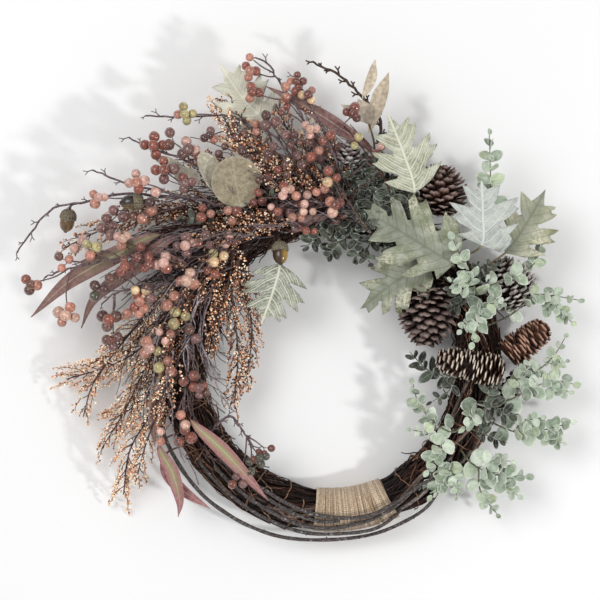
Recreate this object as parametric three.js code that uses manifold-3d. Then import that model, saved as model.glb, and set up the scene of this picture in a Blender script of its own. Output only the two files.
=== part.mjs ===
// Berry and eucalyptus half wreath, lying on its back. Millimetres, +Z up, the wreath's face upwards.
// A ring of bundled twigs carries everything. Stems of berries and seed heads fill the left and the top,
// oak leaves, cones and eucalyptus the right, and the bottom of the ring stays bare but for a jute band
// and three long withes.
import * as THREE from "three";
import { mergeVertices } from "three/addons/utils/BufferGeometryUtils.js";
import Module from "manifold-3d";

const wasm = await Module();
wasm.setup();

// Driving dimensions
// Every x and y below is measured from the ring's centre, and every z from the surface that it lies on.
const RING = { radius: 150, halfWidth: 23, halfDepth: 23.5, centreZ: 18, ridge: 1.5 };
const RING_SIDES = 12;
const RING_STEPS = 40;
const JUTE = {
  from: 264,
  to: 294,
  halfWidth: 23,
  halfDepth: 22.6,
  neck: 0.84,
  turns: 3,
  relief: 0.4,
  thickness: 2,
};
const GAP = 0.35; // clearance between neighbouring pieces
const BERRY_RADIUS = 5.2;
const BLADE_THICKNESS = 0.9;
const LEAFLET_THICKNESS = 1.7; // at the middle of a eucalyptus leaf, which thins to its edge

// Colours and finishes
const finish = (color, roughness) => new THREE.MeshStandardMaterial({ color, roughness, metalness: 0 });
const MATERIALS = {
  twig: finish(0x2e211c, 0.85),
  jute: finish(0xb08d68, 0.95),
  withe: finish(0x45433f, 0.8),
  berry: finish(0xb4604a, 0.45),
  seed: finish(0xb98258, 0.7),
  sage: finish(0xa3a88c, 0.75),
  burgundy: finish(0x6f4543, 0.7),
  khaki: finish(0x938a6b, 0.8),
  cone: finish(0x4a3029, 0.8),
  acorn: finish(0x6b4a25, 0.5),
  eucalyptus: finish(0x9bae97, 0.75),
};

// Seeded draws: the same sequence on every run
const LCG_FACTOR = 48271;
const LCG_MODULUS = 2147483647;
let drawState = 1;
const seedDraws = (seed) => {
  drawState = seed;
};
const draw = () => {
  drawState = (drawState * LCG_FACTOR) % LCG_MODULUS;
  return drawState / LCG_MODULUS;
};

// Solids
const vec = (p) => new THREE.Vector3(p[0], p[1], p[2]);
const rad = THREE.MathUtils.degToRad;
const smoothCurve = (points) => new THREE.CatmullRomCurve3(points.map(vec));

// A point in the ring's bundle at that angle, where a stem is pushed in.
const RING_SOCKET_Z = 27;
const ringPoint = (degrees, radius = RING.radius, z = RING_SOCKET_Z) => [
  radius * Math.cos(rad(degrees)),
  radius * Math.sin(rad(degrees)),
  z,
];

function solidOf(geometry) {
  const bare = geometry.clone();
  bare.deleteAttribute("normal");
  bare.deleteAttribute("uv");
  const merged = mergeVertices(bare, 1e-4);
  return new wasm.Manifold(
    new wasm.Mesh({
      numProp: 3,
      vertProperties: new Float32Array(merged.attributes.position.array),
      triVerts: new Uint32Array(merged.index.array),
    }),
  );
}

const geometryOf = (solid) => {
  const mesh = solid.getMesh();
  const positions = new Float32Array(mesh.numVert * 3);
  for (let i = 0; i < mesh.numVert; i++) {
    positions.set(mesh.vertProperties.subarray(i * mesh.numProp, i * mesh.numProp + 3), i * 3);
  }
  const geometry = new THREE.BufferGeometry();
  geometry.setAttribute("position", new THREE.BufferAttribute(positions, 3));
  geometry.setIndex(new THREE.BufferAttribute(new Uint32Array(mesh.triVerts), 1));
  geometry.computeVertexNormals();
  return geometry;
};

const join = (solids) => wasm.Manifold.union(solids);

function largestBody(solid) {
  const bodies = solid.decompose();
  return bodies.reduce((a, b) => (b.volume() > a.volume() ? b : a), bodies[0]);
}

// Lays a shape whose length runs along y from 0 to 1 onto a curve. Its x goes to the curve's side and
// its z to the side that faces up.
function bendAlong(geometry, curve) {
  const position = geometry.attributes.position;
  const up = new THREE.Vector3(0, 0, 1);
  for (let i = 0; i < position.count; i++) {
    const u = THREE.MathUtils.clamp(position.getY(i), 0, 1);
    const tangent = curve.getTangentAt(u);
    const side = tangent.clone().cross(up).normalize();
    const face = side.clone().cross(tangent);
    const at = curve.getPointAt(u);
    at.addScaledVector(side, position.getX(i)).addScaledVector(face, position.getZ(i));
    position.setXYZ(i, at.x, at.y, at.z);
  }
  return geometry;
}

// A round stem that tapers along its curve.
function stem(points, rootRadius, tipRadius, sides, steps) {
  return (grow) => {
    const rod = new THREE.CylinderGeometry(tipRadius + grow, rootRadius + grow, 1, sides, steps);
    rod.translate(0, 0.5, 0);
    return solidOf(bendAlong(rod, smoothCurve(points)));
  };
}

// The point at a share of a stem's length, on the straight run between its two nearest steps.
function onStem(curve, steps, along) {
  const place = along * steps;
  const before = Math.min(Math.floor(place), steps - 1);
  return curve.getPointAt(before / steps).lerp(curve.getPointAt((before + 1) / steps), place - before);
}

// A leaf blade with a midrib, on a stalk that begins at the path's first point and ends at its second.
// halfWidth gives the blade's half width at each share of its length, and lean carries its edge
// forward. Both faces share one grid, folded up by fold times the half width.
const STALK = { halfWidth: 1.2, thickness: 2, steps: 2 };
function blade({ path, halfWidth, lean = () => 0, fold = 0.2, stations }) {
  const curve = smoothCurve(path);
  const lengths = curve.getLengths(200);
  const stalkShare = lengths[Math.round(200 / (path.length - 1))] / lengths[200];
  return (grow) => {
    const rows = STALK.steps + stations;
    const sheet = new THREE.BoxGeometry(2, 1, 1, 2, rows, 1);
    const position = sheet.attributes.position;
    for (let i = 0; i < position.count; i++) {
      const across = position.getX(i);
      const row = Math.round((position.getY(i) + 0.5) * rows);
      const along = Math.max(0, row - STALK.steps) / stations;
      const onStalk = row <= STALK.steps;
      const half = (onStalk ? STALK.halfWidth : Math.max(STALK.halfWidth * 0.6, halfWidth(along))) + grow;
      const thick = (onStalk ? STALK.thickness : BLADE_THICKNESS) + 2 * grow;
      const forward = across === 0 || onStalk ? 0 : lean(along);
      const pastStalk = stalkShare + (1 - stalkShare) * (along + forward);
      const share = onStalk ? (stalkShare * row) / STALK.steps : pastStalk;
      const height = position.getZ(i) * thick + (onStalk ? 0 : fold * half * Math.abs(across));
      position.setXYZ(i, across * half, share, height);
    }
    return solidOf(bendAlong(sheet, curve));
  };
}

// A berry at a point.
const ball = (at, radius) => (grow) =>
  solidOf(new THREE.IcosahedronGeometry(radius + grow, 0).translate(at[0], at[1], at[2]));

// A round leaf, thick in the middle and thin at its edge, whose base is at a point.
function leaflet({ base, direction, normal, length, width }, sides = 5) {
  return (grow) => {
    const disc = new THREE.SphereGeometry(0.5, sides, 2);
    disc.rotateY(-Math.PI / 2); // a corner of the disc to its base
    disc.scale(width + 2 * grow, LEAFLET_THICKNESS + 2 * grow, length + 2 * grow);
    const side = normal.clone().cross(direction).normalize();
    const centre = base.clone().addScaledVector(direction, 0.46 * length);
    const place = new THREE.Matrix4().makeBasis(side, normal, direction).setPosition(centre);
    return solidOf(disc.applyMatrix4(place));
  };
}

// The assembly
const wreath = new THREE.Group();
let taken = null; // the space of the pieces placed so far, with their clearance

// Adds one piece. Its trunk is cut back from what is already placed, and a repeat such as a berry or a
// leaf that would touch a neighbour is left out.
function place(name, material, trunk, repeats = []) {
  const clear = (solid) => (taken ? solid.subtract(taken) : solid);
  const free = (solid) => !taken || solid.intersect(taken).isEmpty();
  const body = largestBody(clear(join(trunk.map((make) => make(0)))));
  const kept = repeats.filter((make) => free(make(0)));
  const bodies = join([body, ...kept.map((make) => make(0))]).decompose();
  const whole = bodies.find((one) => !one.intersect(body).isEmpty());
  const mesh = new THREE.Mesh(geometryOf(whole), material);
  mesh.name = name;
  wreath.add(mesh);
  const grown = join([...trunk, ...kept].map((make) => make(GAP)));
  taken = taken ? taken.add(grown) : grown;
}

// The twig ring
// One bundle with its twigs raised as ridges, which wind once round the bundle on their way round the
// ring. It is pinched under the jute and lies flat on its back.
function ringBody(grow) {
  const torus = new THREE.TorusGeometry(RING.radius, RING.halfWidth, RING_SIDES, RING_STEPS);
  const position = torus.attributes.position;
  const pinchMargin = 5;
  for (let j = 0; j <= RING_SIDES; j++) {
    for (let i = 0; i <= RING_STEPS; i++) {
      const around = (i % RING_STEPS) * (360 / RING_STEPS);
      const pinched = around > JUTE.from - pinchMargin && around < JUTE.to + pinchMargin;
      const scale = pinched ? JUTE.neck : 1;
      const ridge = (j % 2 === 0 ? 1 : -1) * RING.ridge;
      const section = rad((360 * j) / RING_SIDES + around);
      const out = RING.radius + ((RING.halfWidth + ridge) * scale + grow) * Math.cos(section);
      const z = RING.centreZ + ((RING.halfDepth + ridge) * scale + grow) * Math.sin(section);
      const index = j * (RING_STEPS + 1) + i;
      const back = (pinched ? JUTE.thickness + GAP : 0) - grow;
      position.setXYZ(
        index,
        out * Math.cos(rad(around)),
        out * Math.sin(rad(around)),
        Math.max(z, back),
      );
    }
  }
  return solidOf(torus);
}

// Twig ends that stand off the bundle: where round the ring, how far out they end and how high.
const LOOSE_ENDS = [
  [228, 178, 16],
  [247, 122, 30],
  [256, 121, 22],
  [302, 121, 26],
  [318, 179, 20],
  [338, 180, 30],
  [216, 123, 34],
];
const looseEnd = ([degrees, reach, z]) =>
  stem(
    [
      ringPoint(degrees - 9, 150),
      ringPoint(degrees - 4, (150 + reach) / 2, z),
      ringPoint(degrees, reach, z),
    ],
    1.3,
    0.7,
    3,
    2,
  );

place("twig_ring", MATERIALS.twig, [ringBody, ...LOOSE_ENDS.map(looseEnd)]);

// The jute band
function juteBand(grow) {
  const steps = 2 * JUTE.turns;
  const sleeve = new THREE.CylinderGeometry(1, 1, 1, 10, steps);
  sleeve.translate(0, 0.5, 0);
  const position = sleeve.attributes.position;
  for (let i = 0; i < position.count; i++) {
    const step = Math.round(position.getY(i) * steps);
    const relief = step % 2 === 0 ? -JUTE.relief : JUTE.relief;
    const wide = JUTE.halfWidth - JUTE.relief + relief + grow;
    const deep = JUTE.halfDepth - JUTE.relief + relief + grow;
    const degrees = JUTE.from + (JUTE.to - JUTE.from) * position.getY(i);
    const out = RING.radius + position.getX(i) * wide;
    const z = Math.max(RING.centreZ + position.getZ(i) * deep, GAP - grow);
    position.setXYZ(i, out * Math.cos(rad(degrees)), out * Math.sin(rad(degrees)), z);
  }
  return solidOf(sleeve);
}
place("jute_band", MATERIALS.jute, [juteBand]);

// The withes
// Long dark rods that lie on the ring's lower face, with their ends pushed into the bundle.
const WITHE_RADIUS = 2.5;
const WITHES = {
  withe_outer: [
    [-161, -40, 20],
    [-168, -66, 30],
    [-155, -98, 32],
    [-128, -134, 30],
    [-99, -156, 28],
    [-76, -168, 26],
    [-48, -177, 24],
    [-8, -180, 24],
    [40, -175, 24],
    [71, -163, 30],
    [98, -146, 30],
    [112, -126, 24],
  ],
  withe_inner: [
    [-132, -62, 24],
    [-126, -72, 45],
    [-102, -104, 46],
    [-67, -127, 46],
    [-44, -141, 46],
    [-16, -152, 46],
    [17, -156, 46],
    [40, -153, 46],
    [63, -142, 46],
    [86, -126, 46],
    [107, -111, 45],
    [119, -98, 42],
    [126, -86, 24],
  ],
  withe_middle: [
    [-122, -92, 24],
    [-112, -108, 43],
    [-90, -129, 44],
    [-59, -150, 42],
    [-29, -164, 38],
    [2, -167, 37],
    [24, -163, 39],
    [44, -157, 41],
    [66, -144, 43],
    [76, -132, 24],
  ],
};
for (const [name, points] of Object.entries(WITHES)) {
  place(name, MATERIALS.withe, [stem(points, WITHE_RADIUS, WITHE_RADIUS * 0.8, 5, 16)]);
}

// Cones
// A cone's face is a grid of scales: every second point of the grid stands out and leans to the tip.
const CONE_SIDES = 10;
function coneBody({ base, tip, radius, rows, open }) {
  const from = vec(base);
  const axis = vec(tip).sub(from);
  const length = axis.length();
  const turn = new THREE.Quaternion().setFromUnitVectors(
    new THREE.Vector3(0, 1, 0),
    axis.clone().normalize(),
  );
  return (grow) => {
    const body = new THREE.SphereGeometry(1, CONE_SIDES, rows);
    const position = body.attributes.position;
    for (let i = 0; i < position.count; i++) {
      const row = Math.floor(i / (CONE_SIDES + 1));
      const column = i % (CONE_SIDES + 1);
      const share = 1 - row / rows; // 0 at the base, 1 at the tip
      const inner = row > 0 && row < rows;
      const scale = inner && (row + column) % 2 === 0;
      const profile = Math.sin(Math.PI * Math.pow(Math.min(1, share * 0.92 + 0.04), 0.8));
      const out = inner ? radius * profile * (scale ? 1 : 1 - open) + grow : 0;
      const lift = scale ? (0.7 * length) / rows : 0;
      const angle = rad((360 * column) / CONE_SIDES);
      const end = row === 0 ? grow : row === rows ? -grow : 0;
      position.setXYZ(i, out * Math.cos(angle), share * length + lift + end, -out * Math.sin(angle));
    }
    return solidOf(body.applyQuaternion(turn).translate(from.x, from.y, from.z));
  };
}

// Each cone has a stalk from within it into the ring, at that angle.
const CONES = {
  pine_cone_top: {
    base: [106, 146, 54],
    tip: [112, 197, 58],
    radius: 27,
    rows: 9,
    open: 0.32,
    root: 55,
  },
  pine_cone_left: { base: [99, 82, 44], tip: [96, 15, 40], radius: 29, rows: 10, open: 0.32, root: 38 },
  pine_cone_right: {
    base: [192, 54, 40],
    tip: [167, 103, 44],
    radius: 24,
    rows: 10,
    open: 0.25,
    root: 18,
  },
  spruce_cone_front: {
    base: [172, -11, 60],
    tip: [105, 5, 58],
    radius: 17.5,
    rows: 10,
    open: 0.22,
    root: -4,
    rootRadius: 166,
  },
  spruce_cone_side: {
    base: [178, 6, 44],
    tip: [218, 37, 40],
    radius: 17.5,
    rows: 10,
    open: 0.22,
    root: 4,
  },
  spruce_cone_low: {
    base: [194, -14, 30],
    tip: [166, -46, 40],
    radius: 12,
    rows: 8,
    open: 0.22,
    root: -10,
  },
  grey_pod: { base: [17, 194, 60], tip: [20, 219, 68], radius: 12, rows: 6, open: 0.2, root: 80 },
};
for (const [name, cone] of Object.entries(CONES)) {
  const inside = vec(cone.base).lerp(vec(cone.tip), 0.3).toArray();
  const stalk = stem([ringPoint(cone.root, cone.rootRadius), inside], 1.8, 1.8, 4, 1);
  place(name, MATERIALS.cone, [coneBody(cone), stalk]);
}

// Oak leaves
// The edge of half a leaf from its base to its tip, as a share of the length and of the half width:
// three broad lobes with deep hollows between them, then the end lobe.
const OAK_EDGE = [
  [0, 0.04],
  [0.12, 0.18],
  [0.22, 0.6],
  [0.34, 0.66],
  [0.35, 0.26],
  [0.43, 0.92],
  [0.57, 1],
  [0.58, 0.3],
  [0.67, 0.72],
  [0.79, 0.78],
  [0.8, 0.26],
  [0.89, 0.36],
  [1, 0.05],
];
const OAK_ROWS = OAK_EDGE.length - 1;
const oakHalfWidth = (half) => (along) => half * OAK_EDGE[Math.round(along * OAK_ROWS)][1];
const oakLean = (along) => OAK_EDGE[Math.round(along * OAK_ROWS)][0] - along;

const OAK_LEAVES = {
  oak_leaf_upper_left: { path: [[-64, 236, 50], [-86, 262, 58], [-110, 297, 56]], half: 31, root: 108 },
  oak_leaf_inner_left: { path: [[-50, 98, 62], [-57, 70, 60], [-69, 37, 52]], half: 33, root: 112 },
  oak_leaf_upper_right: { path: [[83, 168, 78], [72, 206, 86], [56, 247, 80]], half: 34, root: 66 },
  oak_leaf_pale: { path: [[149, 116, 76], [150, 148, 84], [149, 180, 80]], half: 36, root: 42 },
  oak_leaf_broad: { path: [[121, 97, 74], [80, 123, 80], [32, 152, 70]], half: 42, root: 40 },
  oak_leaf_lower: { path: [[97, 99, 58], [62, 78, 56], [30, 53, 48]], half: 33, root: 44 },
  oak_leaf_olive: { path: [[174, 109, 66], [196, 140, 68], [214, 172, 62]], half: 33, root: 33 },
};
for (const [name, leaf] of Object.entries(OAK_LEAVES)) {
  const path = [ringPoint(leaf.root), ...leaf.path];
  place(name, MATERIALS.sage, [
    blade({ path, halfWidth: oakHalfWidth(leaf.half), lean: oakLean, fold: 0.16, stations: OAK_ROWS }),
  ]);
}

// Long leaves
const willowHalfWidth = (half) => (along) => half * Math.max(
  0.06,
  Math.pow(Math.sin(Math.PI * Math.pow(along, 0.85)), 0.8),
);
const LONG_LEAVES = {
  long_leaf_left: {
    path: [[-168, 127, 60], [-209, 108, 74], [-259, 80, 68], [-298, 45, 52]],
    half: 9,
    root: 132,
  },
  long_leaf_left_lower: {
    path: [[-150, 125, 56], [-202, 90, 56], [-236, 62, 50], [-249, 34, 40]],
    half: 7,
    root: 136,
  },
  long_leaf_bottom_left: {
    path: [[-170, -82, 50], [-157, -110, 56], [-150, -140, 48], [-152, -155, 40]],
    half: 7.5,
    root: 206,
  },
  long_leaf_bottom_back: {
    path: [[-164, -92, 41], [-165, -108, 41], [-148, -128, 41], [-120, -147, 40]],
    half: 6,
    root: 212,
  },
  long_leaf_bottom_right: {
    path: [[-139, -57, 58], [-106, -88, 62], [-62, -137, 56]],
    half: 8.5,
    root: 196,
  },
  long_leaf_top: {
    path: [[42, 206, 58], [9, 233, 68], [-28, 256, 64], [-65, 275, 60]],
    half: 7,
    root: 84,
  },
};
for (const [name, leaf] of Object.entries(LONG_LEAVES)) {
  const path = [ringPoint(leaf.root), ...leaf.path];
  place(
    name,
    MATERIALS.burgundy,
    [blade({ path, halfWidth: willowHalfWidth(leaf.half), fold: 0.25, stations: 6 })],
  );
}

// Round leaves
// Broad rounded leaves on a stalk: each from its base on the stalk to its tip, with its width and the
// way that its face leans.
const ROUND_LEAVES = {
  round_leaves_left: {
    root: 122,
    stalk: [[-84, 152, 58], [-106, 168, 68], [-132, 183, 68], [-150, 195, 62]],
    leaves: [
      { base: [-90, 158, 63], tip: [-98, 205, 76], width: 44, lean: [0, 0, 1] },
      { base: [-110, 170, 68], tip: [-129, 208, 74], width: 24, lean: [0.5, 0.1, 1] },
      { base: [-130, 182, 68], tip: [-155, 188, 66], width: 19, lean: [0, -0.3, 1] },
      { base: [-148, 193, 63], tip: [-174, 203, 60], width: 11, lean: [0.2, 0.3, 1] },
    ],
  },
  round_leaves_top: {
    root: 76,
    stalk: [[44, 214, 60], [38, 240, 60], [33, 266, 58]],
    leaves: [
      { base: [39, 238, 60], tip: [27, 262, 66], width: 20, lean: [0.2, 0, 1] },
      { base: [33, 265, 58], tip: [45, 302, 58], width: 11, lean: [0.6, 0, 1] },
      { base: [40, 232, 60], tip: [59, 290, 60], width: 17, lean: [-0.3, 0, 1] },
      { base: [38, 240, 60], tip: [10, 257, 56], width: 14, lean: [0, -0.3, 1] },
    ],
  },
};
const ROUND_LEAF_SIDES = 9;
for (const [name, spray] of Object.entries(ROUND_LEAVES)) {
  const leaves = spray.leaves.map(({ base, tip, width, lean }) => {
    const direction = vec(tip).sub(vec(base));
    const length = direction.length();
    direction.normalize();
    const normal = vec(lean);
    normal.addScaledVector(direction, -normal.dot(direction)).normalize();
    return leaflet({ base: vec(base), direction, normal, length, width }, ROUND_LEAF_SIDES);
  });
  place(name, MATERIALS.khaki, [stem([ringPoint(spray.root), ...spray.stalk], 1.5, 1, 4, 4), ...leaves]);
}

// Eucalyptus
// Pairs of round leaves up a stem, each pair turned from the last, smaller towards the tip.
const EUCALYPTUS = {
  eucalyptus_top: {
    root: 46,
    stems: [{ points: [[158, 140, 60], [159, 177, 66], [158, 226, 62]], leaf: 13, pairs: 4 }],
  },
  eucalyptus_upper_right: {
    root: 28,
    stems: [{ points: [[168, 80, 72], [200, 96, 68], [213, 122, 58]], leaf: 14, pairs: 3 }],
  },
  eucalyptus_centre: {
    root: 24,
    stems: [{ points: [[146, 66, 60], [134, 92, 84], [120, 122, 92]], leaf: 15, pairs: 3 }],
  },
  eucalyptus_middle: {
    root: 18,
    stems: [{ points: [[150, 58, 66], [146, 40, 84], [140, 20, 84]], leaf: 15, pairs: 3 }],
  },
  eucalyptus_right: {
    root: 12,
    stems: [
      { points: [[182, 48, 46], [204, 67, 54], [230, 65, 52], [248, 62, 46]], leaf: 14, pairs: 3 },
      { from: 0.6, points: [[226, 52, 48], [242, 40, 44]], leaf: 12, pairs: 2 },
    ],
  },
  eucalyptus_side: {
    root: -8,
    stems: [
      { points: [[186, -24, 50], [210, -6, 54], [226, 10, 50], [235, 24, 44]], leaf: 12, pairs: 3 },
    ],
  },
  eucalyptus_side_low: {
    root: -14,
    stems: [
      { points: [[176, -38, 54], [200, -26, 60], [222, -18, 56], [243, -22, 46]], leaf: 17, pairs: 3 },
    ],
  },
  eucalyptus_low_right: {
    root: -20,
    stems: [
      { points: [[165, -62, 44], [187, -70, 50], [212, -68, 48], [241, -61, 40]], leaf: 16, pairs: 4 },
    ],
  },
  eucalyptus_bottom_right: {
    root: -32,
    stems: [
      { points: [[140, -100, 50], [164, -112, 50], [196, -115, 40]], leaf: 17, pairs: 3 },
      { from: 0.45, points: [[151, -130, 40], [168, -153, 30]], leaf: 13, pairs: 2 },
    ],
  },
  eucalyptus_bottom: {
    root: -38,
    stems: [{ points: [[122, -104, 48], [112, -120, 44], [102, -134, 40]], leaf: 14, pairs: 3 }],
  },
  eucalyptus_inner: {
    root: -22,
    stems: [
      { points: [[122, -70, 50], [102, -58, 52], [88, -40, 48], [83, -22, 42]], leaf: 15, pairs: 3 },
      { from: 0.3, points: [[106, -90, 56], [97, -108, 53]], leaf: 15, pairs: 2 },
    ],
  },
  eucalyptus_ring: {
    root: -14,
    stems: [{ points: [[146, -44, 50], [140, -56, 62], [133, -64, 60]], leaf: 15, pairs: 2 }],
  },
};

// A side stem leaves the first one at the share of its length that from gives.
const EUCALYPTUS_STEPS = 4;
function eucalyptusPaths({ root, stems }) {
  const main = [ringPoint(root), ...stems[0].points];
  const fork = (one) => [onStem(smoothCurve(main), EUCALYPTUS_STEPS, one.from).toArray(), ...one.points];
  return stems.map((one, k) => (k === 0 ? main : fork(one)));
}

// Where each leaf of a eucalyptus stem sits: shared by every stem, and drawn in a fixed order.
const FIRST_PAIR = { main: 0.36, fork: 0.3 };
function eucalyptusLeaves(points, { leaf, pairs, from }, seed) {
  seedDraws(seed);
  const curve = smoothCurve(points);
  const up = new THREE.Vector3(0, 0, 1);
  const first = from === undefined ? FIRST_PAIR.main : FIRST_PAIR.fork;
  const leaves = [];
  for (let pair = 0; pair <= pairs; pair++) {
    const along = first + ((1 - first) * pair) / pairs;
    const base = onStem(curve, EUCALYPTUS_STEPS, along);
    const tangent = curve.getTangentAt(along);
    const side = tangent.clone().cross(up).normalize();
    const size = leaf * (1 - (0.5 * pair) / pairs);
    const swing = rad(pair % 2 === 0 ? 12 : 72) + 0.5 * (draw() - 0.5);
    for (const hand of pair === pairs ? [0] : [-1, 1]) {
      const spread = hand === 0 ? 0 : 1;
      const direction = tangent
        .clone()
        .multiplyScalar(hand === 0 ? 1 : 0.45)
        .addScaledVector(side, spread * hand * Math.cos(swing))
        .addScaledVector(up, spread * (hand > 0 ? 1 : -0.35) * Math.sin(swing))
        .normalize();
      const normal = up
        .clone()
        .addScaledVector(side, 0.9 * (draw() - 0.5))
        .addScaledVector(tangent, 0.9 * (draw() - 0.5) - 0.2);
      normal.addScaledVector(direction, -normal.dot(direction)).normalize();
      const length = size * (0.9 + 0.25 * draw());
      leaves.push({ base, direction, normal, length, width: length * (0.86 + 0.2 * draw()) });
    }
  }
  return leaves;
}
Object.entries(EUCALYPTUS).forEach(([name, spray], i) => {
  const paths = eucalyptusPaths(spray);
  const leaves = spray.stems.flatMap((one, k) => eucalyptusLeaves(paths[k], one, 101 + 7 * i + k));
  place(
    name,
    MATERIALS.eucalyptus,
    paths.map((points) => stem(points, 1.3, 0.9, 4, EUCALYPTUS_STEPS)),
    leaves.map((leaf) => leaflet(leaf)),
  );
});

// Acorns
// The nut and its cup are one turned body. The twig that each hangs from belongs to its berry stem.
const ACORN = { length: 24, nutRadius: 7.4, cupRadius: 8.6 };
function acorn(top, bottom) {
  const { length, nutRadius, cupRadius } = ACORN;
  const profile = [
    [0, 0],
    [1.2, 0.6],
    [nutRadius * 0.72, 4],
    [nutRadius, 10],
    [nutRadius, length - 9],
    [cupRadius, length - 9],
    [cupRadius * 0.86, length - 4],
    [cupRadius * 0.4, length - 1],
    [1.2, length + 2],
    [0, length + 2],
  ].map(([x, y]) => new THREE.Vector2(x, y));
  const axis = vec(top).sub(vec(bottom)).normalize();
  const turn = new THREE.Quaternion().setFromUnitVectors(new THREE.Vector3(0, 1, 0), axis);
  return (grow) => {
    const outline = profile.map((p) => new THREE.Vector2(p.x === 0 ? 0 : p.x + grow, p.y));
    return solidOf(new THREE.LatheGeometry(outline, 8).applyQuaternion(turn).translate(...bottom));
  };
}
const ACORN_STALK = stem([ringPoint(110), [-52, 124, 64], [-50, 108, 73]], 1.5, 1.2, 4, 3);
const ACORN_LEFT_TOP = [-260, 153, 48];
place("acorn_left", MATERIALS.acorn, [acorn(ACORN_LEFT_TOP, [-265, 130, 42])]);
place("acorn_centre", MATERIALS.acorn, [acorn([-50, 117, 71], [-49, 97, 76]), ACORN_STALK]);

// Berry stems
// Each has a woody stem from the ring to its tip, and short twigs to its bunches: x, y, z and how many
// berries. A bunch is a ring of berries with one on top.
const BERRY_STEMS = {
  berry_stem_acorn: {
    root: 120,
    points: [
      [-120, 158, 56],
      [-177, 166, 62],
      [-210, 167, 60],
      [-242, 160, 57],
      [-274, 154, 54],
      [-299, 130, 42],
      [-315, 109, 32],
    ],
    bunches: [[-230, 163, 68, 4], [-196, 159, 70, 3], [-181, 146, 66, 2], [-222, 137, 60, 3]],
    holds: [ACORN_LEFT_TOP],
  },
  berry_stem_upper_left: {
    root: 116,
    points: [[-110, 156, 66], [-170, 170, 76], [-201, 177, 72], [-236, 191, 64]],
    bunches: [[-191, 179, 80, 5], [-163, 190, 84, 5], [-142, 177, 86, 4]],
  },
  berry_stem_high_left: {
    root: 112,
    points: [[-90, 170, 60], [-143, 200, 62], [-174, 212, 60], [-201, 224, 54]],
    bunches: [[-175, 215, 66, 5], [-141, 212, 68, 4]],
  },
  berry_stem_top_left: {
    root: 100,
    points: [[-40, 190, 56], [-68, 222, 62], [-96, 243, 60], [-151, 244, 56], [-184, 246, 50]],
    bunches: [[-144, 247, 62, 5], [-120, 225, 60, 4], [-108, 211, 62, 2]],
  },
  berry_stem_top: {
    root: 92,
    points: [[-8, 190, 56], [-30, 246, 74], [-50, 277, 70], [-62, 296, 64], [-74, 303, 60]],
    bunches: [[-80, 289, 66, 4], [-77, 267, 70, 4], [-44, 261, 78, 1]],
  },
  berry_stem_top_right: {
    root: 86,
    points: [[8, 190, 74], [-8, 230, 84], [-24, 262, 80], [-34, 282, 74]],
    bunches: [
      [-33, 278, 80, 5],
      [-22, 264, 84, 4],
      [-20, 230, 86, 4],
      [-15, 206, 80, 2],
      [22, 246, 80, 4],
    ],
  },
  dark_twig: {
    root: 70,
    points: [
      [50, 220, 52],
      [49, 244, 54],
      [29, 268, 54],
      [17, 279, 54],
      [4, 290, 52],
      [-6, 293, 50],
      [-16, 300, 48],
    ],
    bunches: [],
  },
  berry_stem_middle: {
    root: 96,
    points: [[-24, 176, 64], [-40, 206, 72], [-58, 226, 74], [-76, 234, 70]],
    bunches: [
      [-60, 239, 80, 3],
      [-75, 232, 76, 2],
      [-58, 209, 82, 2],
      [-40, 221, 80, 3],
      [-66, 182, 74, 2],
    ],
  },
  berry_stem_front: {
    root: 66,
    points: [[36, 134, 64], [10, 152, 82], [-20, 160, 84], [-50, 168, 80]],
    bunches: [[0, 183, 92, 3], [4, 154, 90, 4], [-28, 162, 90, 3], [-44, 169, 88, 4], [-22, 150, 88, 2]],
  },
  berry_stem_left: {
    root: 140,
    points: [[-150, 104, 62], [-200, 104, 84], [-240, 97, 82], [-268, 90, 76], [-283, 84, 70]],
    bunches: [
      [-297, 78, 66, 4],
      [-264, 100, 78, 3],
      [-236, 112, 82, 3],
      [-204, 121, 90, 4],
      [-261, 47, 70, 5],
    ],
  },
  berry_stem_left_low: {
    root: 150,
    points: [[-160, 78, 66], [-190, 74, 76], [-214, 68, 78], [-226, 58, 74]],
    bunches: [
      [-229, 71, 80, 3],
      [-219, 43, 70, 4],
      [-202, 95, 86, 4],
      [-179, 97, 84, 4],
      [-216, 22, 62, 4],
      [-188, 60, 76, 5],
    ],
  },
  berry_stem_inner: {
    root: 126,
    points: [
      [-100, 118, 70],
      [-130, 92, 72],
      [-146, 60, 70],
      [-140, 20, 68],
      [-146, -40, 62],
      [-150, -66, 54],
    ],
    bunches: [
      [-143, 116, 84, 5],
      [-99, 120, 82, 4],
      [-111, 104, 80, 3],
      [-141, 82, 80, 4],
      [-136, 28, 74, 2],
      [-178, 14, 64, 4],
      [-130, -26, 70, 4],
      [-163, -5, 64, 3],
      [-145, -74, 62, 3],
      [-168, -74, 58, 2],
    ],
  },
  berry_stem_low: {
    root: 212,
    points: [[-112, -62, 50], [-99, -54, 56], [-86, -70, 56], [-76, -84, 54]],
    bunches: [[-70, -95, 56, 5], [-92, -119, 60, 3]],
  },
};

// The berries of one bunch: shared by every stem, and drawn in a fixed order.
function bunchBerries([x, y, z, count]) {
  const berries = [];
  const start = 2 * Math.PI * draw();
  const ring = count > 3 ? count - 1 : count;
  const spread = ring === 1 ? 0 : (BERRY_RADIUS * 1.02) / Math.sin(Math.PI / ring);
  for (let i = 0; i < ring; i++) {
    const angle = start + (2 * Math.PI * (i + 0.3 * (draw() - 0.5))) / ring;
    const radius = BERRY_RADIUS * (0.86 + 0.24 * draw());
    berries.push(
      {
        at: [x + spread * Math.cos(angle), y + spread * Math.sin(angle), z + 3 * (draw() - 0.5)],
        radius,
      },
    );
  }
  if (ring < count) {
    berries.push(
      {
        at: [x + 2 * (draw() - 0.5), y + 2 * (draw() - 0.5), z + BERRY_RADIUS * 0.9],
        radius: BERRY_RADIUS,
      },
    );
  }
  return berries;
}

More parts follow.
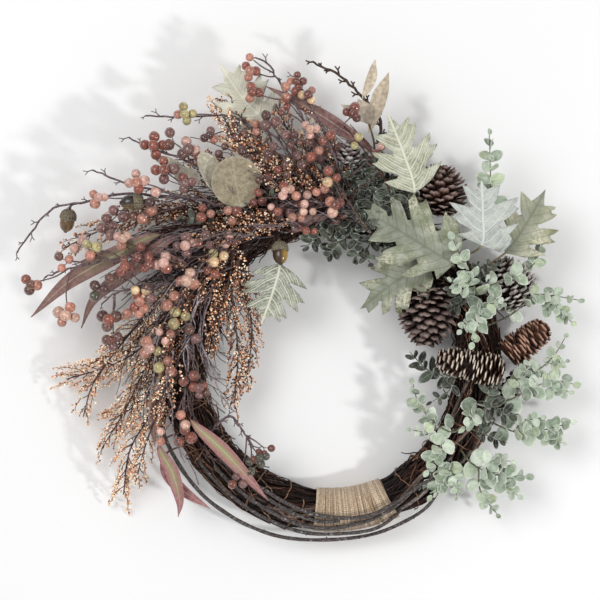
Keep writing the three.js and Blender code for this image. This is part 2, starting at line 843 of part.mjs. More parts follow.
// The twig to a berry leaves the stem a little before the nearest point.
const TWIG_LEAD = 0.14;
function twigTo(curve, steps, berry) {
  const target = vec(berry);
  let nearest = 0;
  for (let u = 0; u <= 1; u += 0.02) {
    if (curve.getPointAt(u).distanceTo(target) < curve.getPointAt(nearest).distanceTo(target)) nearest = u;
  }
  const from = onStem(curve, steps, Math.max(0, nearest - TWIG_LEAD));
  return [from.toArray(), berry];
}
const solidBerries = (count) => (count > 4 ? 2 : 1); // of those in a bunch
const SOLID_BUNCH = 3; // the berries of a smaller bunch are left out
Object.entries(BERRY_STEMS).forEach(([name, spray], i) => {
  seedDraws(501 + 11 * i);
  const points = [ringPoint(spray.root), ...spray.points];
  const steps = spray.points.length + 2;
  const curve = smoothCurve(points);
  const repeats = spray.bunches.flatMap((bunch) => {
    const berries = bunchBerries(bunch).slice(-solidBerries(bunch[3]));
    if (bunch[3] < SOLID_BUNCH) return [];
    const twig = stem(twigTo(curve, steps, berries[berries.length - 1].at), 1.2, 1, 3, 1);
    return [twig, ...berries.map((berry) => ball(berry.at, berry.radius * 1.06))];
  });
  const holders = (spray.holds ?? []).map((point) => stem(twigTo(curve, steps, point), 1.2, 1.2, 4, 1));
  place(name, MATERIALS.berry, [stem(points, 1.7, 1, 3, steps), ...holders], repeats);
});

// Seed heads
// Fine arching branchlets on both sides of a stem, strung with seeds.
const SEED_STEMS = {
  seed_head_left: {
    root: 158,
    points: [[-160, 50, 40], [-185, 18, 42], [-215, -2, 36], [-266, -18, 20]],
    spread: 46,
    branches: 7,
  },
  seed_head_left_low: {
    root: 166,
    points: [[-160, 20, 46], [-178, -20, 46], [-196, -44, 38], [-222, -60, 24]],
    spread: 44,
    branches: 7,
  },
  seed_head_bottom: {
    root: 178,
    points: [[-158, -10, 56], [-178, -50, 54], [-200, -88, 44], [-208, -134, 24]],
    spread: 42,
    branches: 7,
  },
  seed_head_inner: {
    root: 140,
    points: [[-100, 80, 56], [-96, 50, 56], [-92, 10, 50], [-96, -46, 36]],
    spread: 28,
    branches: 6,
  },
  seed_head_top: {
    root: 104,
    points: [[-48, 170, 62], [-70, 200, 66], [-96, 226, 62], [-112, 258, 52]],
    spread: 40,
    branches: 6,
  },
  seed_head_upper_left: {
    root: 128,
    points: [[-130, 150, 46], [-180, 150, 46], [-225, 134, 40], [-268, 114, 32]],
    spread: 36,
    branches: 6,
  },
};
const SEED_STEPS = 6;
function seedBranches(points, { spread, branches }, seed) {
  seedDraws(seed);
  const curve = smoothCurve(points);
  const up = new THREE.Vector3(0, 0, 1);
  const made = [];
  for (let i = 0; i < branches; i++) {
    const along = 0.24 + (0.7 * (i + 0.5 * draw())) / branches;
    const from = onStem(curve, SEED_STEPS, along);
    const tangent = curve.getTangentAt(along);
    const side = tangent.clone().cross(up).normalize().multiplyScalar(i % 2 === 0 ? 1 : -1);
    const reach = spread * (1 - 0.45 * along) * (0.75 + 0.4 * draw());
    const lift = 8 * (draw() - 0.35);
    const off = (forward, sideways, rise) =>
      from
        .clone()
        .addScaledVector(tangent, forward * reach)
        .addScaledVector(side, sideways * reach)
        .addScaledVector(up, rise)
        .toArray();
    made.push([from.toArray(), off(0.42, 0.3, lift), off(0.95, 0.42, lift - 4)]);
  }
  return made;
}
const BRANCHLET = { radius: 0.8, seedRadius: 2.1, steps: 5 };
function beadedBranchlet(points) {
  return (grow) => {
    const rod = new THREE.CylinderGeometry(1, 1, 1, 3, BRANCHLET.steps);
    rod.translate(0, 0.5, 0);
    const position = rod.attributes.position;
    for (let i = 0; i < position.count; i++) {
      const step = Math.round(position.getY(i) * BRANCHLET.steps);
      const radius = (step === 2 || step === 4 ? BRANCHLET.seedRadius : BRANCHLET.radius) + grow;
      position.setXYZ(i, position.getX(i) * radius, position.getY(i), position.getZ(i) * radius);
    }
    return solidOf(bendAlong(rod, smoothCurve(points)));
  };
}
Object.entries(SEED_STEMS).forEach(([name, spray], i) => {
  const points = [ringPoint(spray.root), ...spray.points];
  const branches = seedBranches(points, spray, 901 + 13 * i);
  const trunk = stem(points, 1.4, 0.9, 4, SEED_STEPS);
  place(name, MATERIALS.seed, [trunk], branches.map(beadedBranchlet));
});

// The frame: the origin is under the middle of the whole, on the surface
const box = new THREE.Box3().setFromObject(wreath);
wreath.position.set(-(box.min.x + box.max.x) / 2, -(box.min.y + box.max.y) / 2, -box.min.z);
const part = new THREE.Group();
part.add(wreath);

export default part;
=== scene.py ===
# Berry and eucalyptus half wreath, lying on its back on a pale surface.
# The sections give places in millimetres from the ring's centre, and heights from the surface.
import math

import bpy
import numpy as np
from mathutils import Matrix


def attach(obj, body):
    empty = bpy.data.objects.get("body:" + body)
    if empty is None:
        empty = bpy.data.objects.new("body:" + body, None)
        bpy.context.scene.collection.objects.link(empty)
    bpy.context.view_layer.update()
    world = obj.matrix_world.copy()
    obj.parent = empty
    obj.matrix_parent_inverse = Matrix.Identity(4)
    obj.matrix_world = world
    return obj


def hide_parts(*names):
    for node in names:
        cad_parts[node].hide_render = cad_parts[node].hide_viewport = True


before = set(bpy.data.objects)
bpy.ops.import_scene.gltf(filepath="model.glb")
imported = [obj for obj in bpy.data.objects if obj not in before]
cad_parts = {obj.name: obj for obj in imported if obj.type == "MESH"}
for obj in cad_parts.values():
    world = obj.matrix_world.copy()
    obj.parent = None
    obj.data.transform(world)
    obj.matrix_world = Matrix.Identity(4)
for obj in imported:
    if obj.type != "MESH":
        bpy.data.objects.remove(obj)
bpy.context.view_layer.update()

# The studio
# A plain pale surface, a small lamp low to the right that throws the shadows, a broad weak one to the
# upper left, soft light from all round, and a camera straight above the middle of the wreath.
bpy.ops.object.select_all(action="DESELECT")
bpy.context.scene.view_settings.view_transform = "Standard"


def new_material(name, shine=0.2):
    material = bpy.data.materials.new(name)
    material.use_nodes = True
    shader = material.node_tree.nodes["Principled BSDF"]
    shader.inputs["Specular IOR Level"].default_value = shine
    return material, material.node_tree, shader


def fill(tree, made, inputs):
    """Gives each input of a node its value, or links the socket that feeds it."""
    for key, value in dict(inputs).items():
        if isinstance(value, bpy.types.NodeSocket):
            tree.links.new(value, made.inputs[key])
        else:
            made.inputs[key].default_value = value


def node(tree, kind, inputs=(), **settings):
    made = tree.nodes.new("ShaderNode" + kind)
    for key, value in settings.items():
        setattr(made, key, value)
    fill(tree, made, inputs)
    return made


def colour(code):
    """A colour from its six-digit code, in linear light."""
    shares = [int(code[i : i + 2], 16) / 255 for i in (0, 2, 4)]
    return [s / 12.92 if s < 0.04045 else ((s + 0.055) / 1.055) ** 2.4 for s in shares] + [1]


def object_noise(tree, scale, detail=3.0, stretch=(1, 1, 1)):
    place = node(tree, "TexCoord").outputs["Object"]
    turned = node(tree, "Mapping", {"Vector": place, "Scale": stretch}).outputs["Vector"]
    return node(tree, "TexNoise", {"Vector": turned, "Scale": scale, "Detail": detail}).outputs["Fac"]


def mixed(tree, share, first, second, blend="MIX"):
    inputs = {0: share, 6: first, 7: second}
    return node(tree, "Mix", inputs, data_type="RGBA", blend_type=blend).outputs[2]


def ranged(tree, value, low, high, to_low=0.0, to_high=1.0):
    inputs = {"Value": value, "From Min": low, "From Max": high, "To Min": to_low, "To Max": to_high}
    return node(tree, "MapRange", inputs).outputs["Result"]


def calc(tree, operation, first, second=0.0):
    return node(tree, "Math", {0: first, 1: second}, operation=operation).outputs[0]


def bump(tree, height, strength, distance):
    inputs = {"Height": height, "Strength": strength, "Distance": distance}
    return node(tree, "Bump", inputs).outputs["Normal"]


bpy.ops.mesh.primitive_plane_add(size=8)
surface = bpy.context.object
surface.name = "surface"
surface_white, tree, shader = new_material("surface_white")
paper = object_noise(tree, 3.0, 2.0)
fill(tree, shader, {"Base Color": mixed(tree, paper, colour("f6f6f6"), colour("f9f9f9")), "Roughness": 0.7})
surface.data.materials.append(surface_white)

LAMPS = [
    # place, size, power
    ((1.65, -0.75, 1.5), 0.18, 18.5),
    ((-1.2, 0.7, 2.2), 1.4, 28),
]
for place, size, power in LAMPS:
    bpy.ops.object.light_add(type="AREA", location=place)
    lamp = bpy.context.object
    lamp.data.size = size
    lamp.data.energy = power
    lamp.rotation_euler = lamp.location.to_track_quat("Z", "Y").to_euler()

world = bpy.context.scene.world or bpy.data.worlds.new("soft_light")
bpy.context.scene.world = world
world.use_nodes = True
soft_light = {"Color": (0.98, 0.982, 0.985, 1.0), "Strength": 0.55}
fill(world.node_tree, world.node_tree.nodes["Background"], soft_light)

CAMERA_PLACE = (0.0004, 0.0012, 2.545)
CAMERA_LENS = 150
bpy.ops.object.camera_add(location=CAMERA_PLACE, rotation=(0, 0, 0))
bpy.context.object.data.lens = CAMERA_LENS
bpy.context.scene.camera = bpy.context.object

# The twig ring
# A bundle of thin dark birch twigs bent round a ring and pressed flat on its back. Each twig winds
# slowly round the bundle, many ends stand off it, and thin vines hold it together.
MM = 0.001
RING_CENTRE = np.array([30.390151977539062, -60.785125732421875, 0.0])
RING_RADIUS = 150
BUNDLE_HALF_WIDTH = 22.5
BUNDLE_HALF_DEPTH = 23
BUNDLE_CENTRE_Z = 18.5
PINCH = 0.16
PINCH_MIDDLE, PINCH_SWEEP, PINCH_EASE = 279, 24, 8
CORE_RADIUS = 16.5
SOCKET_Z = 27
UP = np.array([0.0, 0.0, 1.0])


def edit(made, kind, test):
    """Opens a part in edit mode with those of its vertices, edges or faces selected that pass a test."""
    bpy.context.view_layer.objects.active = made
    bpy.ops.object.mode_set(mode="EDIT")
    bpy.ops.mesh.select_mode(type=kind)
    bpy.ops.mesh.select_all(action="DESELECT")
    bpy.ops.object.mode_set(mode="OBJECT")
    mesh = made.data
    for part in {"VERT": mesh.vertices, "EDGE": mesh.edges, "FACE": mesh.polygons}[kind]:
        part.select = bool(test(part))
    bpy.ops.object.mode_set(mode="EDIT")


def done():
    bpy.ops.object.mode_set(mode="OBJECT")


def apply_modifier(made, kind, **settings):
    modifier = made.modifiers.new(kind, kind)
    for key, value in settings.items():
        setattr(modifier, key, value)
    bpy.ops.object.modifier_apply(modifier=modifier.name)


def pattern_of(made):
    """Takes a modelled part's mesh as arrays to copy it from, and removes the part."""
    bpy.ops.object.transform_apply(location=True, rotation=True, scale=True)
    mesh = made.data
    points = np.empty(len(mesh.vertices) * 3)
    mesh.vertices.foreach_get("co", points)
    corners = np.empty(len(mesh.loops), dtype=np.int64)
    mesh.loops.foreach_get("vertex_index", corners)
    sizes = np.empty(len(mesh.polygons), dtype=np.int64)
    mesh.polygons.foreach_get("loop_total", sizes)
    bpy.data.objects.remove(made)
    return points.reshape(-1, 3), corners, sizes


def shades_of(codes):
    """A row of colours to pick from, without their alpha."""
    return np.array([colour(code)[:3] for code in codes.split()])


class Gathering:
    """Copies of modelled parts that are joined into one piece. Every copy keeps its own colour
    (tone) and the coordinates of its pattern (own), for the materials to read."""

    def __init__(self):
        self.parts = []

    def add(self, pattern, copies, tones, finish=0, own=None):
        """Tones are one colour code for all the copies, or each copy's own colour."""
        points, corners, sizes = pattern
        copies = np.asarray(copies, dtype=float)
        own = points if own is None else own
        tones = np.asarray(colour(tones)[:3] if isinstance(tones, str) else tones, dtype=float)
        self.parts.append((copies, corners, sizes, np.broadcast_to(tones, (len(copies), 3)), finish, own))

    def rods(self, paths, radii, tones, finish=0, sides=6):
        """A thin rod along each path. Radii are one for all, (at the start, at the end) or each point's."""
        paths = np.asarray(paths, dtype=float)
        radii = np.linspace(*radii, paths.shape[1]) if isinstance(radii, tuple) else radii
        straight = rod(sides, paths.shape[1] - 1)
        self.add(straight, lay(straight, paths, radii), tones, finish)

    def close(self, name, materials, slot, nodes=()):
        """Joins the copies into one piece, which replaces the part's nodes."""
        first, joined = 0, []
        for copies, corners, sizes, tones, finish, own in self.parts:
            count, each = copies.shape[:2]
            corners = corners[None] + first + each * np.arange(count)[:, None]
            of_points = (copies.reshape(-1, 3), np.repeat(tones, each, axis=0), np.tile(own, (count, 1)))
            of_faces = (corners.ravel(), np.tile(sizes, count), np.full(count * len(sizes), finish))
            joined.append(of_points + of_faces)
            first += count * each
        points, tones, owns, corners, sizes, finishes = (np.concatenate(column) for column in zip(*joined))
        mesh = bpy.data.meshes.new(name)
        mesh.vertices.add(len(points))
        mesh.vertices.foreach_set("co", ((points + RING_CENTRE) * MM).ravel())
        mesh.loops.add(len(corners))
        mesh.loops.foreach_set("vertex_index", corners)
        mesh.polygons.add(len(sizes))
        mesh.polygons.foreach_set("loop_start", np.cumsum(sizes) - sizes)
        mesh.update(calc_edges=True)
        mesh.polygons.foreach_set("material_index", finishes)
        mesh.polygons.foreach_set("use_smooth", np.ones(len(sizes), dtype=bool))
        tones = np.column_stack([tones, np.ones(len(points))])
        mesh.attributes.new("tone", "FLOAT_COLOR", "POINT").data.foreach_set("color", tones.ravel())
        mesh.attributes.new("own", "FLOAT_VECTOR", "POINT").data.foreach_set("vector", owns.ravel())
        for material in materials:
            mesh.materials.append(material)
        made = bpy.data.objects.new(name, mesh)
        bpy.context.collection.objects.link(made)
        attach(made, "root")
        if nodes:
            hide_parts(*nodes)


modelled_rods = {}


def rod(sides, steps):
    """A straight rod of radius 1 along y from 0 to 1, cut into steps."""
    if (sides, steps) not in modelled_rods:
        bpy.ops.mesh.primitive_cylinder_add(
            vertices=sides, radius=1, depth=1, location=(0, 0.5, 0), rotation=(-math.pi / 2, 0, 0)
        )
        made = bpy.context.object
        bpy.ops.object.transform_apply(location=True, rotation=True, scale=True)
        if steps > 1:
            ends = [v.co.y for v in made.data.vertices]
            edit(made, "EDGE", lambda e: abs(ends[e.vertices[0]] - ends[e.vertices[1]]) > 0.5)
            bpy.ops.mesh.subdivide(number_cuts=steps - 1)
            done()
        modelled_rods[sides, steps] = pattern_of(made)
    return modelled_rods[sides, steps]


def unit(vectors):
    return vectors / np.maximum(np.linalg.norm(vectors, axis=-1, keepdims=True), 1e-9)


def beside(direction):
    """The level direction to the right of another."""
    return unit(np.cross(direction, UP))


def keep_above(points, height):
    points[..., 2] = np.maximum(points[..., 2], height)


def frames(paths):
    """The direction, side and face at every point of paths, which share one number of points."""
    along = unit(np.gradient(paths, axis=-2))
    steep = np.abs(along[..., 2:]).max(axis=-2, keepdims=True) > 0.93
    upright = np.where(steep, np.array([0.3, 1.0, 0.1]), UP)
    side = unit(np.cross(along, upright))
    return along, side, np.cross(side, along)


def lay(pattern, paths, radii):
    """Lays copies of a pattern along paths. Its y from 0 to 1 follows the path, and its x and z are
    scaled by the radii at the path's points."""
    paths = np.asarray(paths, dtype=float)
    points = pattern[0]
    last = paths.shape[1] - 1
    place = np.clip(points[:, 1], 0, 1) * last
    before = np.minimum(place.astype(int), last - 1)
    rest = (place - before)[None, :, None]
    _, side, face = frames(paths)

    def at(values):
        return values[:, before] * (1 - rest) + values[:, before + 1] * rest

    radii = np.broadcast_to(np.asarray(radii, dtype=float), paths.shape[:2])[..., None]
    across, height = points[None, :, :1], points[None, :, 2:]
    return at(paths) + at(side) * at(radii) * across + at(face) * at(radii) * height


def smooth_path(points, shares):
    """Points at equal shares of the length of a centripetal Catmull-Rom curve, as in the part."""
    points = np.asarray(points, dtype=float)
    count = len(points)
    ends = np.vstack([2 * points[0] - points[1], points, 2 * points[-1] - points[-2]])

    def at(spots):
        spots = np.clip(spots, 0, 1) * (count - 1)
        leg = np.minimum(spots.astype(int), count - 2)
        t = (spots - leg)[:, None]
        a, b, c, d = (ends[leg + k] for k in range(4))
        gaps = [np.sqrt(np.linalg.norm(q - p, axis=1))[:, None] for p, q in ((a, b), (b, c), (c, d))]
        before, here, after = gaps
        start = ((b - a) / before - (c - a) / (before + here) + (c - b) / here) * here
        stop = ((c - b) / here - (d - b) / (here + after) + (d - c) / after) * here
        return b + start * t + (3 * (c - b) - 2 * start - stop) * t**2 + (2 * (b - c) + start + stop) * t**3

    spots = np.linspace(0, 1, 201)
    lengths = np.concatenate([[0], np.cumsum(np.linalg.norm(np.diff(at(spots), axis=0), axis=1))])
    return at(np.interp(np.asarray(shares, dtype=float) * lengths[-1], lengths, spots))


def curve(points, steps):
    return smooth_path(points, np.linspace(0, 1, steps + 1))


def on_ring(degrees, radius=RING_RADIUS, z=SOCKET_Z):
    turn = np.radians(degrees)
    return np.stack(np.broadcast_arrays(radius * np.cos(turn), radius * np.sin(turn), z), axis=-1)


def effect(name, inputs, outputs):
    """A shader node group. It returns the group, its inner inputs and its inner outputs."""
    group = bpy.data.node_groups.new(name, "ShaderNodeTree")
    for label, kind, value in inputs:
        socket = group.interface.new_socket(label, in_out="INPUT", socket_type="NodeSocket" + kind)
        socket.default_value = value
    for label, kind in outputs:
        group.interface.new_socket(label, in_out="OUTPUT", socket_type="NodeSocket" + kind)
    return group, group.nodes.new("NodeGroupInput").outputs, group.nodes.new("NodeGroupOutput").inputs


def use(tree, group, inputs=()):
    made = tree.nodes.new("ShaderNodeGroup")
    made.node_tree = group
    fill(tree, made, inputs)
    return made.outputs


def tone(tree):
    return node(tree, "Attribute", attribute_name="tone").outputs["Color"]


def own(tree):
    place = node(tree, "Attribute", attribute_name="own").outputs["Vector"]
    return node(tree, "SeparateXYZ", {0: place}).outputs


# Bark runs lengthwise in the copy's own coordinates, with pale specks of lichen on it.
bark, given, result = effect(
    "bark",
    [
        ("Color", "Color", (0.5, 0.5, 0.5, 1)),
        ("Specks", "Float", 0.3),
        ("Speck Color", "Color", (0.5, 0.5, 0.5, 1)),
    ],
    [("Color", "Color"), ("Height", "Float")],
)
fibre = object_noise(bark, 420.0, 4.0)
patch = object_noise(bark, 90.0, 2.0)
darker = mixed(bark, ranged(bark, fibre, 0.35, 0.7), (0.35, 0.33, 0.32, 1), (1.35, 1.3, 1.28, 1))
grained = mixed(bark, 1.0, given["Color"], darker, "MULTIPLY")
speck = calc(bark, "MULTIPLY", ranged(bark, fibre, 0.6, 0.68), ranged(bark, patch, 0.45, 0.6))
shown = calc(bark, "MULTIPLY", speck, given["Specks"])
bark.links.new(mixed(bark, shown, grained, given["Speck Color"]), result["Color"])
bark.links.new(fibre, result["Height"])


def bark_material(name, roughness, specks, speck_colour, depth):
    material, tree, shader = new_material(name)
    skin = use(tree, bark, {"Color": tone(tree), "Specks": specks, "Speck Color": colour(speck_colour)})
    relief = bump(tree, skin["Height"], 0.6, depth)
    fill(tree, shader, {"Base Color": skin["Color"], "Normal": relief, "Roughness": roughness})
    return material


ring_twig = bark_material("ring_twig", 0.5, 0.25, "8d7f78", 0.0006)
rng = np.random.default_rng(11)


def chance(low, high, count):
    """A chance value for each of a number of things, as a column."""
    return rng.uniform(low, high, (count, 1))


def picks(shades, count):
    return shades[rng.integers(0, len(shades), count)]


def shares_of(steps):
    """How far along each point of a path lies, from 0 to 1, as a row."""
    return np.linspace(0, 1, steps + 1)[None]


def bundle_pinch(degrees):
    """The bundle's share of its full thickness: it is drawn in under the jute."""
    away = np.abs((degrees - PINCH_MIDDLE + 180) % 360 - 180)
    return 1 - PINCH * np.clip((PINCH_SWEEP - away) / PINCH_EASE, 0, 1)


def clear_of_jute(degrees):
    return bundle_pinch(degrees) > 0.99


def in_bundle(degrees, section, depth):
    """A point of the bundle: how far round the ring, round the section, and how near the skin."""
    pinch = bundle_pinch(degrees)
    out = RING_RADIUS + BUNDLE_HALF_WIDTH * depth * pinch * np.cos(section)
    z = BUNDLE_CENTRE_Z + BUNDLE_HALF_DEPTH * depth * pinch * np.sin(section)
    return on_ring(degrees, out, np.maximum(z, 2.4))


ring = Gathering()
bpy.ops.mesh.primitive_torus_add(
    major_radius=RING_RADIUS, minor_radius=CORE_RADIUS, major_segments=72, minor_segments=14,
    location=(0, 0, BUNDLE_CENTRE_Z),
)
core = pattern_of(bpy.context.object)
ring.add(core, core[0][None], "1d1512")

RING_TWIGS = 230
TWIG_SHADES = shades_of("241712 33211a 1b120e 4a2e25 2c2320 644a3d 291b16")
share = shares_of(34)
begin = chance(0, 360, RING_TWIGS)
degrees = begin + share * chance(60, 190, RING_TWIGS)
section = chance(0, 2 * np.pi, RING_TWIGS) + np.radians(degrees) * chance(0.2, 1.6, RING_TWIGS)
section = section + 0.2 * np.sin(np.radians(degrees) * 9 + begin)
depth = chance(0.72, 1.0, RING_TWIGS) + 0.03 * np.sin(np.radians(degrees) * 11 + 2 * begin)
away = chance(-0.1, 0.35, RING_TWIGS) * clear_of_jute(degrees)
depth = np.minimum(depth, 1.0) + np.clip(away, 0, 1) * np.clip((share - 0.86) / 0.14, 0, 1) ** 1.5
radii = chance(0.9, 1.9, RING_TWIGS) * (1 - 0.55 * share)
ring.rods(in_bundle(degrees, section, depth), radii, picks(TWIG_SHADES, RING_TWIGS))

LOOSE_TWIGS = 150
share = shares_of(8)
begin = chance(0, 360, LOOSE_TWIGS)
hand = rng.choice([-1, 1], (LOOSE_TWIGS, 1))
degrees = begin + hand * share * chance(6, 17, LOOSE_TWIGS)
section = chance(-0.5, 2 * np.pi - 2.6, LOOSE_TWIGS) + 0.3 * share
depth = 0.9 + chance(0.1, 0.62, LOOSE_TWIGS) * share**1.6 + 0.04 * np.sin(9 * share + begin)
paths = in_bundle(degrees, section, depth)[np.all(clear_of_jute(degrees), axis=1)]
ring.rods(paths, 1.0 - 0.55 * share, picks(TWIG_SHADES, len(paths)), sides=5)

THICK_TWIGS = 9
share = shares_of(34)
begin = np.concatenate([chance(225, 250, 4), chance(285, 330, 5)])
degrees = begin + share * chance(28, 60, THICK_TWIGS)
section = chance(0.6, 2.5, THICK_TWIGS) + 0.35 * np.sin(share * 5 + begin)
paths = in_bundle(degrees, section, 0.97 - 0.3 * (2 * share - 1) ** 6)
tones = picks(shades_of("8a817b 6f625b 7d6a60"), THICK_TWIGS)
ring.rods(paths, chance(1.6, 2.3, THICK_TWIGS), tones, sides=7)

VINES = 18
share = shares_of(44)
begin = np.concatenate([chance(190, 258, 10), chance(300, 345, 5), chance(0, 190, 3)])
degrees = begin + share * chance(-9, 20, VINES) + 1.5 * np.sin(share * 17 + begin)
section = chance(0, 6.3, VINES) + 2 * np.pi * share * chance(0.7, 1.7, VINES)
paths = in_bundle(degrees, section, 1.05 + 0.04 * np.sin(share * 23 + begin))
paths = paths + rng.normal(0, 0.55, paths.shape)
keep_above(paths, 1.1)
ring.rods(paths, 0.55 + 0.12 * np.sin(share * 40), "94725b", sides=5)

FINE_TWIGS = 300
share = shares_of(16)
begin = chance(0, 360, FINE_TWIGS)
degrees = begin + share * rng.choice([-1, 1], (FINE_TWIGS, 1)) * chance(14, 34, FINE_TWIGS)
section = chance(-0.2, 3.3, FINE_TWIGS) + share * chance(-1.3, 1.3, FINE_TWIGS)
paths = in_bundle(degrees, section, 1.0 + 0.05 * np.sin(share * 11 + begin))
paths = (paths + rng.normal(0, 0.4, paths.shape))[np.all(clear_of_jute(degrees), axis=1)]
tones = picks(shades_of("6a4838 2a1c18 916a56 3d2a24 a98b74"), len(paths))
ring.rods(paths, 0.62 - 0.3 * share, tones, sides=4)
ring.close("ring_of_twigs", [ring_twig], "twig", ["twig_ring"])

# The jute band
# Some fifty turns of thin jute cord, wound tight over the pinched bundle at the bottom,
# with the last end tucked under the others.
JUTE_FROM, JUTE_TO = 264, 294
JUTE_HALF_WIDTH = 21.5
JUTE_HALF_DEPTH = 21.1
LINING_RADIUS = 20.4
LINING_Z = 18.6
CORD_RADIUS = 0.9
CORD_TURNS = 54
CORD_STEPS = 40

# Darker and lighter patches on a ground colour, where a noise is low or high.
mottling, given, result = effect(
    "mottling",
    [
        ("Color", "Color", (0.5, 0.5, 0.5, 1)),
        ("Noise", "Float", 0.5),
        ("From", "Float", 0.3),
        ("To", "Float", 0.7),
        ("Dark", "Color", (0.6, 0.6, 0.6, 1)),
        ("Light", "Color", (1.3, 1.3, 1.3, 1)),
    ],
    [("Color", "Color")],
)
patch = ranged(mottling, given["Noise"], given["From"], given["To"])
patch = mixed(mottling, patch, given["Dark"], given["Light"])
mottling.links.new(mixed(mottling, 1.0, given["Color"], patch, "MULTIPLY"), result["Color"])


def mottled(tree, ground, noise, limits, dark, light):
    inputs = {"Color": ground, "Noise": noise, "From": limits[0], "To": limits[1]}
    return use(tree, mottling, {**inputs, "Dark": (*dark, 1), "Light": (*light, 1)})["Color"]


jute_cord, tree, shader = new_material("jute_cord")
spin = own(tree)
strand = calc(tree, "ADD", calc(tree, "MULTIPLY", spin["Y"], 420.0), calc(tree, "MULTIPLY", spin["X"], 2.2))
twist = calc(tree, "SINE", strand)
fuzz = object_noise(tree, 700.0, 4.0)
skin = mottled(tree, tone(tree), fuzz, (0.3, 0.7), (0.62, 0.6, 0.56), (1.35, 1.33, 1.28))
# The grooves of the twist are painted darker: painted shade.
skin = mixed(tree, ranged(tree, twist, -1.0, -0.2, 0.45, 0.0), skin, colour("6f5b47"))
relief = bump(tree, calc(tree, "ADD", ranged(tree, twist, -1.0, 1.0), fuzz), 0.7, 0.0005)
fill(tree, shader, {"Base Color": skin, "Normal": relief, "Roughness": 0.95, "Sheen Weight": 0.3})

jute = Gathering()
turn = np.arange(CORD_TURNS)[:, None]
share = shares_of(CORD_STEPS)
section = -np.pi / 2 + 2 * np.pi * share + 0 * turn
skew = rng.normal(0, 0.16, (CORD_TURNS, 1)) * np.sin(section)
skew = skew + np.where(turn > CORD_TURNS - 12, 0.9, 0) * np.cos(section)
degrees = JUTE_FROM + 0.5 + (JUTE_TO - JUTE_FROM - 1.4) * turn / (CORD_TURNS - 1) + skew
lift = rng.normal(0, 0.14, (CORD_TURNS, 1))
out = RING_RADIUS + (JUTE_HALF_WIDTH + lift) * np.cos(section)
z = np.maximum(BUNDLE_CENTRE_Z + (JUTE_HALF_DEPTH + lift) * np.sin(section), CORD_RADIUS + 0.1)
tones = picks(shades_of("ceb69e d8c2aa bda58e e1cfb9 c4ae96"), CORD_TURNS)
jute.rods(on_ring(degrees, out, z), CORD_RADIUS, tones, sides=8)
degrees = np.linspace(JUTE_FROM + 0.8, JUTE_TO - 0.8, 13)
lining = lay(rod(16, 12), [on_ring(degrees, RING_RADIUS, LINING_Z)], LINING_RADIUS)
keep_above(lining, 0.9)
jute.add(rod(16, 12), lining, "8a6d4f")
TUCKED_END = [(34, -133, 36.5), (40, -141, 41.4), (45, -151, 40.6), (51, -160, 31), (56, -163, 24)]
jute.rods([curve(TUCKED_END, CORD_STEPS)], 1.0, "c9ad8a", sides=8)
jute.close("jute_winding", [jute_cord], "jute", ["jute_band"])

# The withes
# Long grey rods with rough dark bark, tucked into the bundle at both ends and bowed along its
# lower face.
WITHE_STEPS = 110
withe_bark = bark_material("withe_bark", 0.7, 0.9, "b5b1ac", 0.0012)
WITHES = {
    "withe_outer": [
        (-161, -40, 20), (-168, -66, 30), (-155, -98, 32), (-128, -134, 30), (-99, -156, 28), (-76, -168, 26),
        (-48, -177, 24), (-8, -180, 24), (40, -175, 24), (71, -163, 30), (98, -146, 30), (112, -126, 24),
    ],
    "withe_inner": [
        (-132, -62, 24), (-126, -72, 45), (-102, -104, 46), (-67, -127, 46), (-44, -141, 46), (-16, -152, 46),
        (17, -156, 46), (40, -153, 46), (63, -142, 46), (86, -126, 46), (107, -111, 45), (119, -98, 42),
        (126, -86, 24),
    ],
    "withe_middle": [
        (-122, -92, 24), (-112, -108, 43), (-90, -129, 44), (-59, -150, 42), (-29, -164, 38), (2, -167, 37),
        (24, -163, 39), (44, -157, 41), (66, -144, 43), (76, -132, 24),
    ],
    # only this dressed version has the last two
    "withe_extra": [
        (-128, -80, 22), (-134, -93, 30), (-115, -119, 35), (-85, -145, 36), (-55, -162, 32), (-25, -172, 30),
        (10, -173, 31), (45, -168, 32), (64, -156, 34), (84, -134, 22),
    ],
    "withe_short": [
        (-112, -84, 24), (-108, -94, 41), (-84, -120, 44), (-52, -143, 44), (-22, -157, 43), (0, -160, 42),
        (18, -158, 30),
    ],
}
share = shares_of(WITHE_STEPS)[0]
for name, points in WITHES.items():
    withe = Gathering()
    path = smooth_path(points, share)
    knots = 1 + 0.09 * np.sin(share * 61 + len(points)) * np.sin(share * 23)
    knots = knots + rng.normal(0, 0.035, len(share))
    withe.rods([path], (2.15 - 0.4 * share) * knots, "5f5b5a", sides=10)
    spur_at = path[8:-8:9]
    lean = unit(rng.normal(0, 1, spur_at.shape) + UP * 0.6)
    withe.rods(np.stack([spur_at, spur_at + lean * 3.4], axis=1), (1.0, 0.5), "3c3836", sides=5)
    in_part = name not in ("withe_extra", "withe_short")
    withe.close(name.replace("withe", "grey_rod"), [withe_bark], "withe", [name] if in_part else [])

# The cones
# Open pine cones, a pair of long spruce cones with a small one beside them, and a frosted grey pod.
# Each is a dark core set with woody scales in a spiral, on a short stalk from the ring.
def shape_rows(made, rows):
    """Sets the width and the lift of a grid's rows of vertices, from its near edge to its far one."""
    for i, (width, lift) in enumerate(rows):
        at = i / (len(rows) - 1)
        edit(made, "VERT", lambda v: abs(v.co.y - at) < 0.01)
        bpy.ops.transform.resize(value=(width, 1, 1), center_override=(0, at, 0))
        bpy.ops.transform.translate(value=(0, 0, lift))
        done()


def flat_grid(across, along):
    bpy.ops.object.select_all(action="DESELECT")
    bpy.ops.mesh.primitive_grid_add(x_subdivisions=across, y_subdivisions=along, size=1, location=(0, 0.5, 0))
    made = bpy.context.object
    made.scale = (2, 1, 1)
    bpy.ops.object.transform_apply(location=True, rotation=True, scale=True)
    return made


